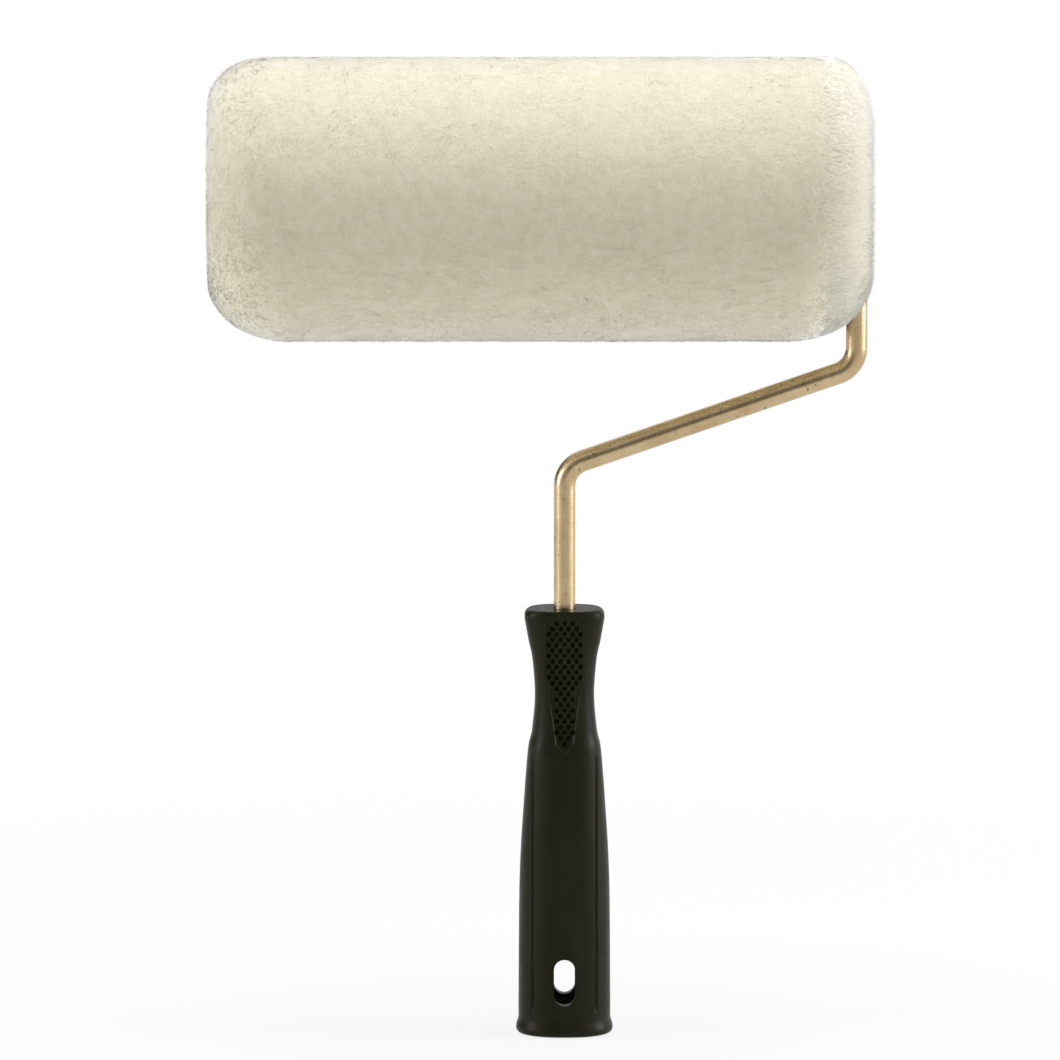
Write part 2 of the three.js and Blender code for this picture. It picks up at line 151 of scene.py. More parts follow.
@dataclass(frozen=True)
class Finish:
    """A real material and how its surface was made: a colour with tones over it, a roughness that
    may follow a grain, and bumps of a real depth."""

    name: str
    colour: str
    roughness: tuple[float, float]  # the least and the most; the least alone with no rough_grain
    grains: dict[str, Grain] = field(default_factory=dict)
    tones: tuple[Tone, ...] = ()
    rough_grain: str | None = None
    rough_span: tuple[float, float] = (0.3, 0.7)  # the grain's values that give least and most
    bumps: tuple[tuple[str, float], ...] = ()  # each grain and its depth in millimetres
    seam_turns: float = 0.0  # how often a spiral seam goes round the piece
    shader: dict[str, object] = field(default_factory=dict)

    def patterns(self, tree: bpy.types.NodeTree) -> dict[str, bpy.types.NodeSocket]:
        """Adds the grains and, for a spiral winding, the seam: the fraction of U + turns V.

        Args:
            tree: The material's tree.

        Returns:
            Each pattern's value, about 0.5 for a grain, and from 0 to 1 past each pass of the seam.
        """
        made = {}
        for name, grain in self.grains.items():
            if grain.map_metres:
                place = add_node(tree, "UVMap", {"uv_map": BAKE_MAP}).outputs[0]
            else:
                place = add_node(tree, "TexCoord").outputs["Object"]
            sizes = zip(grain.map_metres or (1, 1, 1), grain.stretch)
            scale = [metres / (grain.size_mm * MM * stretch) for metres, stretch in sizes]
            placed = add_node(tree, "Mapping", inputs={"Vector": place, "Scale": scale}).outputs[0]
            inputs = {"Vector": placed, "Scale": 1.0, "Detail": grain.layers, "Roughness": 0.55}
            made[name] = add_node(tree, "TexNoise", inputs=inputs).outputs[0]
        if self.seam_turns:
            place = add_node(tree, "UVMap", {"uv_map": BAKE_MAP}).outputs[0]
            wound = add_node(tree, "Mapping", inputs={"Vector": place, "Scale": (1, self.seam_turns, 1)})
            u, v, _ = add_node(tree, "SeparateXYZ", inputs={0: wound.outputs[0]}).outputs
            total = add_node(tree, "Math", {"operation": "ADD"}, {0: u, 1: v}).outputs[0]
            made["seam"] = add_node(tree, "Math", {"operation": "FRACT"}, {0: total}).outputs[0]
        return made

    def material(self) -> bpy.types.Material:
        """Builds the material: tones are mixed in and bumps are stacked in their order.

        Returns:
            The material.
        """
        material, tree = blank_material(self.name)
        patterns = self.patterns(tree)
        inputs = {"Base Color": linear(self.colour), "Roughness": self.roughness[0], **self.shader}
        for tone in self.tones:
            span = {"From Min": tone.start, "From Max": tone.end, "To Min": 0.0, "To Max": tone.share}
            share = add_node(tree, "MapRange", inputs={"Value": patterns[tone.grain], **span}).outputs[0]
            colours = {0: share, 6: inputs["Base Color"], 7: linear(tone.colour)}
            inputs["Base Color"] = add_node(tree, "Mix", {"data_type": "RGBA"}, colours).outputs[2]
        if self.rough_grain:
            names = ("From Min", "From Max", "To Min", "To Max")
            span = dict(zip(names, (*self.rough_span, *self.roughness)))
            value = {"Value": patterns[self.rough_grain], **span}
            inputs["Roughness"] = add_node(tree, "MapRange", inputs=value).outputs[0]
        for grain, depth_mm in self.bumps:
            relief = {"Height": patterns[grain], "Distance": depth_mm * MM, "Strength": 1.0}
            if "Normal" in inputs:
                relief["Normal"] = inputs["Normal"]
            inputs["Normal"] = add_node(tree, "Bump", inputs=relief).outputs[0]
        shader = add_node(tree, "BsdfPrincipled", inputs=inputs)
        add_node(tree, "OutputMaterial", inputs={"Surface": shader.outputs[0]})
        return material


def moulded_plastic(
    name: str,
    colours: tuple[str, str],
    roughness: float,
    grain: tuple[float, float],
    flow: tuple[float, float, float],
    **shader: object,
) -> Finish:
    """An injection moulded plastic: an even colour with faint flow marks, smeared gloss and the
    fine grain of a spark-eroded mould.

    Args:
        name: The finish's name.
        colours: The plastic's colour, and its flow marks'.
        roughness: The middle of its roughness.
        grain: The size and the depth of the mould's grain, in millimetres.
        flow: How much longer the flow marks are along each axis.
        shader: More values of the shader.

    Returns:
        The finish.
    """
    grains = {"flow": Grain(7, 3, flow), "grain": Grain(grain[0], 2), "smear": Grain(2.2, 4, (1, 1, 3))}
    return Finish(
        name,
        colours[0],
        (roughness - 0.06, roughness + 0.07),
        grains,
        (Tone("flow", 0.35, 0.7, colours[1]),),
        "smear",
        bumps=(("grain", grain[1]),),
        shader=shader,
    )


def grey_steel(
    name: str, colours: tuple[str, str], roughness: float, stretch: tuple[float, float, float]
) -> Finish:
    """Plated or blued steel: a grey metal with a cloudy film and fine marks.

    Args:
        name: The finish's name.
        colours: The metal's colour, and the film's.
        roughness: The middle of its roughness.
        stretch: How much longer the marks are along each axis.

    Returns:
        The finish.
    """
    return Finish(
        name,
        colours[0],
        (roughness - 0.08, roughness + 0.1),
        {"film": Grain(3, 4, stretch), "fine": Grain(0.4, 2, stretch)},
        (Tone("film", 0.35, 0.7, colours[1]),),
        "fine",
        bumps=(("fine", 0.003),),
        shader={"Metallic": 1.0},
    )


# Polypropylene with carbon black: an even, slightly olive black with a soft satin gloss. The mould's
# grain is really about 0.1 mm, and is drawn at 0.4 mm so that it shows.
BLACK_POLYPROPYLENE = moulded_plastic(
    "moulded_black_polypropylene",
    ("#1a1a08", "#22220f"),
    0.42,
    (0.4, 0.014),
    (1, 1, 6),
    **{"IOR": 1.49, "Specular IOR Level": 0.12},
)

# Undyed nylon: a warm grey that lets a little light in. Its grain is drawn coarser than real too.
TRANSLUCENT = {"Subsurface Weight": 0.1, "Subsurface Radius": (1.0, 0.8, 0.6), "Subsurface Scale": 0.6 * MM}
NATURAL_NYLON = moulded_plastic(
    "moulded_natural_nylon", ("#c9c4b4", "#beb7a3"), 0.42, (0.5, 0.012), (3, 1, 1), IOR=1.53, **TRANSLUCENT
)

# Undyed acetal: whiter, denser and glossier than the nylon.
NATURAL_ACETAL = moulded_plastic(
    "moulded_natural_acetal", ("#d8d5cb", "#cdc8ba"), 0.34, (0.5, 0.006), (3, 1, 1), IOR=1.48, **TRANSLUCENT
)

# Drawn steel bar, zinc plated and yellow passivated: a brassy satin film, cloudy in tone, with draw
# lines 0.5 mm apart along the bar and a few dark pits. The film's fine scuffs are drawn at 0.7 mm,
# coarser than real. Its map is the bar's circumference by its length.
PASSIVATED_STEEL = Finish(
    "zinc_yellow_passivated_drawn_steel",
    "#bba27a",
    (0.25, 0.35),
    {
        "clouds": Grain(9, 4),
        "lines": Grain(0.5, 3, (1, 60, 1), (0.025, 0.52, 1.0)),
        "fine": Grain(0.7, 3),
        "spots": Grain(2.6, 2),
    },
    (
        Tone("clouds", 0.35, 0.68, "#cdb792"),
        Tone("lines", 0.5, 0.78, "#8f7448", 0.4),
        Tone("fine", 0.58, 0.8, "#8f7448", 0.25),
        Tone("spots", 0.7, 0.735, "#4b3a22", 0.85),
    ),
    "fine",
    (0.3, 0.75),
    (("lines", 0.006), ("fine", 0.004)),
    shader={"Metallic": 0.9},
)

# Pressed steel with bright zinc: a light grey metal with a cloudy film.
ZINC_PLATED_STEEL = grey_steel("zinc_plated_pressed_steel", ("#b9bcc0", "#8f9498"), 0.38, (1, 1, 1))

# Hard drawn spring steel: a darker, brighter grey with marks along the wire.
SPRING_STEEL = grey_steel("drawn_spring_steel", ("#9b9da1", "#75777c"), 0.3, (12, 1, 1))

# Kraft paper wound in a spiral 38 mm wide and soaked in phenolic resin: brown, with paper fibre, a
# dark line of resin along the seam and a dull gloss.
PHENOLIC_PAPER = Finish(
    "spiral_wound_phenolic_paper",
    "#8a5f3a",
    (0.48, 0.66),
    {"fibre": Grain(1.2, 5, (4, 1, 1))},
    (Tone("fibre", 0.3, 0.75, "#5f3c20"), Tone("seam", 0.03, 0.0, "#5f3c20")),
    "fibre",
    bumps=(("fibre", 0.03),),
    seam_turns=220 / 38,
)

# Tanned sheepskin: pale suede with a soft nap and an uneven tan.
SHEEPSKIN_SUEDE = Finish(
    "tanned_sheepskin_suede",
    "#d8c8a4",
    (0.95, 0.95),
    {"tan": Grain(6, 4), "nap": Grain(0.5, 3)},
    (Tone("tan", 0.3, 0.7, "#b9a277"),),
    bumps=(("nap", 0.15),),
    shader={"Sheen Weight": 0.3, "Sheen Roughness": 0.5},
)

# Washed natural lambswool: warm cream, matt, and white where it is seen at a slant, as the ends of
# fine fibres are. The matted wool under the locks is painted a little deeper, as the shade that falls
# there, in a mottle that varies at random, and has curls; its fibre is drawn at 0.6 mm, coarser than
# the real 0.03 mm. Each lock has one plain tint, as its grain is its shape.
WOOL_SHADER = {"Specular IOR Level": 0.25, "Sheen Weight": 1.0, "Sheen Roughness": 0.4}
MATTED_LAMBSWOOL = Finish(
    "matted_lambswool",
    "#e5dfc5",
    (0.95, 0.95),
    {"mottle": Grain(4, 4), "curl": Grain(1.5, 3), "fibre": Grain(0.6, 3)},
    # the deeper mottle tone is painted shade under the locks, laid at random
    (Tone("mottle", 0.3, 0.7, "#dbd4b5"),),
    bumps=(("curl", 0.25), ("fibre", 0.15)),
    shader=WOOL_SHADER,
)
# the locks' roots, painted darker as the shade deep in the wool; their tints; and last the tint of long
# locks, painted lighter to offset the shade where they stand dense
LOCK_COLOURS = ("#dcd5b7", "#e9e4cb", "#ded7b9", "#eeead5", "#d8d1b0", "#e4dec4", "#e9e4cd")
LAMBSWOOL_LOCKS = tuple(
    Finish(f"lambswool_lock_{f'tint_{i}' if i else 'root'}", colour, (0.95, 0.95), shader=WOOL_SHADER)
    for i, colour in enumerate(LOCK_COLOURS)
)


# ------------------------------------------------------------------ meshes


class Ends(Enum):
    """How a grid's first and last rows are closed."""

    POLES = "each end row is drawn together into one point"
    LOOP = "the last row joins the first"


def make_mesh(
    name: str,
    points_mm: Array,
    faces: Array,
    materials: Sequence[bpy.types.Material],
    smooth: bool = True,
) -> bpy.types.Object:
    """Puts points and faces into a new object at the origin.

    Args:
        name: The piece's name.
        points_mm: Points, in millimetres, one row each.
        faces: Corner numbers, one row for each face, all with the same number of corners or padded
            with -1.
        materials: The piece's material slots.
        smooth: Whether its faces are shaded smooth.

    Returns:
        The object.
    """
    used = faces >= 0
    totals = used.sum(axis=1)
    starts = np.concatenate([[0], np.cumsum(totals)[:-1]])
    mesh = bpy.data.meshes.new(name)
    mesh.vertices.add(len(points_mm))
    mesh.vertices.foreach_set("co", (points_mm * MM).astype(np.float32).ravel())
    mesh.loops.add(int(totals.sum()))
    mesh.loops.foreach_set("vertex_index", faces[used].astype(np.int32))
    mesh.polygons.add(len(faces))
    mesh.polygons.foreach_set("loop_start", starts.astype(np.int32))
    mesh.polygons.foreach_set("use_smooth", np.full(len(faces), smooth))
    for material in materials:
        mesh.materials.append(material)
    mesh.update(calc_edges=True)
    mesh.validate()
    made = bpy.data.objects.new(name, mesh)
    bpy.context.scene.collection.objects.link(made)
    return made


def signed_volume(points: Array, quads: Array) -> float:
    """Volume inside closed faces: the sum of each triangle's cone from the origin.

    Args:
        points: Points, one row each.
        quads: Four corners a face, with -1 in the last place of a triangle.

    Returns:
        The volume, negative where the faces point inwards.
    """
    a, b, c = (points[quads[:, i]] for i in range(3))
    total = np.einsum("ij,ij->", a, np.cross(b, c))
    full = quads[:, 3] >= 0
    d = points[quads[full, 3]]
    return float(total + np.einsum("ij,ij->", a[full], np.cross(c[full], d))) / 6


def grid_piece(
    name: str,
    rows: Array,
    ends: Ends,
    materials: Sequence[bpy.types.Material],
    mapped: bool = False,
    sharp: bool = False,
) -> bpy.types.Object:
    """Makes a closed piece from a grid of points whose columns run round it.

    Args:
        name: The piece's name.
        rows: Points in millimetres, as rows by columns by 3.
        ends: How the first and last rows are closed.
        materials: The piece's material slots.
        mapped: Whether it gets a map, which runs round the piece in U and along its rows in V.
        sharp: Whether its edges are shaded sharp.

    Returns:
        The object.
    """
    count, sides = rows.shape[:2]
    column = np.arange(sides)
    after = (column + 1) % sides
    if ends is Ends.POLES:
        body = rows[1:-1]
        inner = len(body)
        points = np.concatenate([rows[0, :1], rows[-1, :1], body.reshape(-1, 3)])
        index = 2 + np.arange(inner)[:, None] * sides
        low, high = index[:-1], index[1:]
        quads = np.stack([low + column, low + after, high + after, high + column], axis=-1).reshape(-1, 4)
        none = np.full(sides, -1)
        first = np.stack([np.zeros(sides, int), index[0] + after, index[0] + column, none], axis=-1)
        last = np.stack([np.ones(sides, int), index[-1] + column, index[-1] + after, none], axis=-1)
        faces = np.concatenate([quads, first, last])
        closing = [np.zeros(sides), np.full(sides, inner)]
        levels = np.concatenate([np.repeat(np.arange(1, inner), sides), *closing])
    else:
        points = rows.reshape(-1, 3)
        low = np.arange(count)[:, None] * sides
        high = ((np.arange(count) + 1) % count)[:, None] * sides
        faces = np.stack([low + column, low + after, high + after, high + column], axis=-1).reshape(-1, 4)
        levels = np.repeat(np.arange(count), sides)
    if signed_volume(points, faces) < 0:
        triangles = faces[:, 3] < 0
        faces = faces[:, ::-1].copy()
        faces[triangles] = np.roll(faces[triangles], -1, axis=1)
    made = make_mesh(name, points, faces, materials)
    if mapped:
        add_map(made, rows, levels)
    if sharp:
        made.data.set_sharp_from_angle(angle=math.radians(SHARP_DEGREES))
    return made


def add_map(made: bpy.types.Object, rows: Array, levels: Array) -> None:
    """Adds a map to a grid piece: U is the share of the way round, and V the share along the rows.

    Each face's corners take their column and row from the face's own, so the map doesn't wrap.

    Args:
        made: The piece.
        rows: The grid it was made from.
        levels: The row that each face starts from.
    """
    count, sides = rows.shape[:2]
    steps = np.linalg.norm(np.diff(rows[:, 0], axis=0), axis=-1)
    share = np.concatenate([[0], np.cumsum(steps)])
    share = share / share[-1]
    mesh = made.data
    starts = np.empty(len(mesh.polygons), np.int32)
    totals = np.empty(len(mesh.polygons), np.int32)
    mesh.polygons.foreach_get("loop_start", starts)
    mesh.polygons.foreach_get("loop_total", totals)
    corners = np.empty(len(mesh.loops), np.int32)
    mesh.loops.foreach_get("vertex_index", corners)
    face = np.repeat(np.arange(len(starts)), totals)
    poles = len(mesh.vertices) != count * sides
    number = corners - 2 if poles else corners
    column = np.where(number >= 0, number % sides, -1)
    row = np.where(number >= 0, number // sides + (1 if poles else 0), np.where(corners == 0, 0, count - 1))
    face_column = np.arange(len(starts)) % sides
    along = np.where(column >= 0, column, face_column[face]).astype(float)
    wraps = (face_column[face] == sides - 1) & (column == 0)
    along[wraps] = sides
    value = share[row]
    closing = (levels[face].astype(int) == count - 1) & (row == 0) & (not poles)
    value = np.where(closing, 1.0, value)
    mesh.uv_layers.new(name=BAKE_MAP)
    flat = np.stack([along / sides, value], axis=-1).astype(np.float32)
    mesh.uv_layers[BAKE_MAP].data.foreach_set("uv", flat.ravel())


def seat(made: bpy.types.Object, body: str, slot: str, *nodes: str) -> bpy.types.Object:
    """Puts a finished piece on its body.

    Args:
        made: The piece.
        body: The body it rides on.
        slot: The record's material slot; not used.
        nodes: The CAD nodes it stands for.

    Returns:
        The piece.
    """
    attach(made, body)
    if nodes:
        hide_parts(*nodes)
    LOG.info("%s: %d faces on %s", made.name, len(made.data.polygons), body)
    return made


def rounded(points: Sequence[tuple[float, float]], radius: float, steps: int = 3) -> Array:
    """Rounds the corners of a closed outline.

    Each corner gives way to a curve between two points that lie the radius, or 0.4 of the shorter
    side, from it: a quadratic curve with the corner as its middle control point.

    Args:
        points: The outline's corners.
        radius: How far the curve reaches along each side.
        steps: The curve's number of pieces.

    Returns:
        The rounded outline, one row for each point.
    """
    corners = np.asarray(points, float)
    made = []
    share = np.linspace(0, 1, steps + 1)[:, None]
    for i, corner in enumerate(corners):
        before = corners[i - 1] - corner
        after = corners[(i + 1) % len(corners)] - corner
        reach = min(radius, 0.4 * np.linalg.norm(before), 0.4 * np.linalg.norm(after))
        start = corner + before / np.linalg.norm(before) * reach
        end = corner + after / np.linalg.norm(after) * reach
        made.append((1 - share) ** 2 * start + 2 * share * (1 - share) * corner + share**2 * end)
    return np.concatenate(made)


def turned_rows(outline: Array, height_mm: float, sides: int) -> Array:
    """A surface turned about the spindle: x = along, y = r cos a, z = height + r sin a.

    Args:
        outline: Along and radius, one row for each point.
        height_mm: The spindle's height.
        sides: The number of columns.

    Returns:
        Points as rows by columns by 3.
    """
    angle = np.arange(sides) * TAU / sides
    along = np.repeat(outline[:, :1], sides, axis=1)
    y, z = outline[:, 1:] * np.cos(angle), height_mm + outline[:, 1:] * np.sin(angle)
    return np.stack([along, y, z], axis=-1)


def swept_rows(path: Array, radii: Array, side: Array, sides: int) -> Array:
    """A round bar along a plane path: p + r (cos a) n + r (sin a) b, where b is the plane's normal.

    Args:
        path: The bar's centreline, one row for each point.
        radii: The bar's radius at each point.
        side: The normal of the path's plane.
        sides: The number of columns.

    Returns:
        Points as rows by columns by 3.
    """
    heading = np.gradient(path, axis=0)
    heading /= np.linalg.norm(heading, axis=1)[:, None]
    normal = np.cross(side, heading)
    angle = (np.arange(sides) * TAU / sides)[None, :, None]
    ring = np.cos(angle) * normal[:, None] + np.sin(angle) * side
    return path[:, None] + radii[:, None, None] * ring


# ------------------------------------------------------------------ random patterns


def lattice_values(cells: Array, seed: int) -> Array:
    """Fixed random numbers for whole-numbered cells, by multiplying and mixing their bits.

    Args:
        cells: Cell numbers, with 3 in the last axis.
        seed: Which set of numbers.

    Returns:
        Numbers from 0 to 1.
    """
    parts = cells.astype(np.int64).astype(np.uint64)
    mixed = (
        parts[..., 0] * np.uint64(73856093)
        ^ parts[..., 1] * np.uint64(19349663)
        ^ parts[..., 2] * np.uint64(83492791)
        ^ np.uint64(seed * 2654435761 & 0xFFFFFFFF)
    )
    mixed = (mixed ^ (mixed >> np.uint64(15))) * np.uint64(0x2C1B3C6D) & np.uint64(0xFFFFFFFF)
    mixed = (mixed ^ (mixed >> np.uint64(12))) * np.uint64(0x297A2D39) & np.uint64(0xFFFFFFFF)
    return ((mixed ^ (mixed >> np.uint64(15))) & np.uint64(0xFFFFFF)).astype(float) / 0xFFFFFF


def smooth_noise(points: Array, size: float, seed: int) -> Array:
    """Smooth noise: random numbers at cell corners, blended between them.

    Args:
        points: Places, one row each.
        size: The cell size in the places' own unit.
        seed: Which noise.

    Returns:
        Values from -1 to 1.
    """
    scaled = points / size
    cell = np.floor(scaled)
    part = scaled - cell
    part = part * part * (3 - 2 * part)
    total = np.zeros(len(points))
    for corner in np.ndindex(2, 2, 2):
        weight = np.prod(np.where(corner, part, 1 - part), axis=1)
        total += weight * lattice_values(cell + corner, seed)
    return 2 * total - 1


def nearest_centres(points: Array, size: float, seed: int) -> tuple[Array, Array]:
    """The nearest of the scattered centres, one for each cell, to each place.

    Args:
        points: Places, one row each.
        size: The cell size.
        seed: Which set of centres.

    Returns:
        The centres, and the distances to them.
    """
    cell = np.floor(points / size)
    best = np.full(len(points), np.inf)
    centres = np.zeros_like(points)
    for step in np.ndindex(3, 3, 3):
        near = cell + step - 1
        jitter = np.stack([lattice_values(near, seed + axis) for axis in range(3)], axis=-1)
        centre = (near + 0.1 + 0.8 * jitter) * size
        distance = np.linalg.norm(centre - points, axis=1)
        closer = distance < best
        best = np.where(closer, distance, best)
        centres = np.where(closer[:, None], centre, centres)
    return centres, best


# ------------------------------------------------------------------ cover


@dataclass(frozen=True)
class PileShape:
    """The outline of a sleeve of wool, in millimetres along X and about the spindle: ends that dip
    towards the hole as the square of the way in, elliptical corners and a straight side. A corner's
    half axes are its size less its droop times the sine of the angle, so the wool is rounder
    underneath. A limit cuts the right end off square: min(x, limit), smoothed over the softness."""

    left: float
    right: float
    radius: float
    hole: float
    corners: Array  # left and right corner by half axes along and out
    droops: Array
    dips: tuple[float, float]
    limit: float = math.inf
    softness: float = 2.4

    def half_axes(self, angle: Array) -> Array:
        """The corners' half axes: left along, left out, right along and right out, by angle."""
        return self.corners.reshape(4, 1) - self.droops.reshape(4, 1) * np.sin(angle)

    def outline(self, place: Array, angle: Array) -> Array:
        """Points on the outline.

        Args:
            place: 0 to 1 up the left end, 1 to 2 round its corner, 2 to 3 along the side, 3 to 4
                round the right corner and 4 to 5 down the right end.
            angle: The angle about the spindle of each place.

        Returns:
            Along and radius, one row for each place.
        """
        section = np.clip(np.floor(place), 0, 4)
        part = place - section
        turn = part * math.pi / 2
        a, b, c, d = self.half_axes(angle)
        along = [
            self.left + self.dips[0] * (1 - part) ** 2,
            self.left + a * (1 - np.cos(turn)),
            self.left + a + (self.right - self.left - a - c) * part,
            self.right - c * (1 - np.sin(turn)),
            self.right - self.dips[1] * part**2,
        ]
        reach = [
            self.hole + (self.radius - b - self.hole) * part,
            self.radius - b * (1 - np.sin(turn)),
            np.full_like(part, self.radius),
            self.radius - d * (1 - np.cos(turn)),
            self.radius - d + (self.hole - self.radius + d) * part,
        ]
        choices = [section == i for i in range(5)]
        x = np.select(choices, along)
        if math.isfinite(self.limit):
            x = 0.5 * (x + self.limit - np.sqrt((x - self.limit) ** 2 + self.softness**2))
        return np.stack([x, np.select(choices, reach)], axis=-1)

    def before(self, place: Array, angle: Array, length: Array) -> Array:
        """Places that lie a length nearer the left end, for places on the side or the right corner.

        A quarter of an ellipse is taken to be as long as a quarter of a circle of the mean radius.

        Args:
            place: Places along the outline.
            angle: Their angles about the spindle.
            length: How far back each new place is.

        Returns:
            The new places.
        """
        a, _, c, d = self.half_axes(angle)
        side, arc = self.right - self.left - a - c, math.pi / 4 * (c + d)
        gone = (place - 3) * np.where(place < 3, side, arc) - length
        return 3 + gone / np.where(gone < 0, side, arc)

    def surface(self, place: Array, angle: Array, height: float) -> Array:
        """Points on the sleeve: the outline turned about the spindle."""
        along, reach = self.outline(place, angle).T
        return np.stack([along, reach * np.cos(angle), height + reach * np.sin(angle)], axis=-1)

    def outward(self, place: Array, angle: Array) -> Array:
        """Unit normals: on an elliptical corner (cos t / half length, sin t / half height).

        Args:
            place: Places along the outline.
            angle: Their angles about the spindle.

        Returns:
            The normals, one row each.
        """
        section = np.clip(np.floor(place), 0, 4)
        part = place - section
        turn = part * math.pi / 2
        a, b, c, d = self.half_axes(angle)
        rise = 2 * self.dips[0] * (part - 1) / (self.radius - b - self.hole)
        fall = -2 * self.dips[1] * part / (self.radius - d - self.hole)
        none, full = np.zeros_like(turn), np.ones_like(turn)
        choices = [section == i for i in range(5)]
        along = np.select(choices, [-full, -np.cos(turn) / a, none, np.sin(turn) / c, full])
        reach = np.select(choices, [rise, np.sin(turn) / b, full, np.cos(turn) / d, fall])
        length = np.hypot(along, reach)
        along, reach = along / length, reach / length
        return np.stack([along, reach * np.cos(angle), reach * np.sin(angle)], axis=-1)


@dataclass(frozen=True)
class StrandStyle:
    """How the wool's strands stand. Sizes in millimetres. A field named by_length has what the
    shortest strand has, and what each millimetre of length adds to it."""

    count: int = 126000
    per_piece: int = 18000
    radius: tuple[float, float] = (0.15, 0.24)  # short strands, and long ones; real wool has 0.015
    pull: float = 0.35  # the share of the way that tips draw towards their lock's centre
    lean: float = 0.5  # how far they lean with their lock
    drift: float = 0.25  # the share of the lean that neighbouring locks have together
    lock_rise: float = 0.12
    own_rise: float = 0.35
    rise_level: float = 0.7
    sag_by_length: float = 0.14
    tip_by_length: tuple[float, float] = (0.45, 0.02)
    foot_by_length: tuple[float, float] = (0.3, 0.08)
    crimp_by_length: tuple[float, float] = (0.15, 0.05)
    foot_depth: float = 0.9
    middle_share: float = 0.6
    middle_rise: float = 0.1
    waist: float = 0.9  # the middle's share of the foot's radius
    full_length: float = 3.0  # past this a strand counts as long
    # the long strands' tint is painted lighter, to offset the shade where they stand dense
    long_share: float = 0.85  # the share of long strands that have the long strands' tint
    # how many times denser the strands stand, by millimetres past the matted wool's right edge
    thicken: tuple[tuple[float, float], tuple[float, float]] = ((-7, 0), (1, 8))
    # the same by places along the outline, never less than by millimetres
    thicken_places: tuple[tuple[float, float], tuple[float, float]] = ((2.94, 2.985), (1, 8))
    # how far the strands are combed to the right, by millimetres past the same edge
    comb: tuple[tuple[float, ...], tuple[float, ...]] = ((-10, -1, 8, 12), (0, 4.8, 2.7, 0))


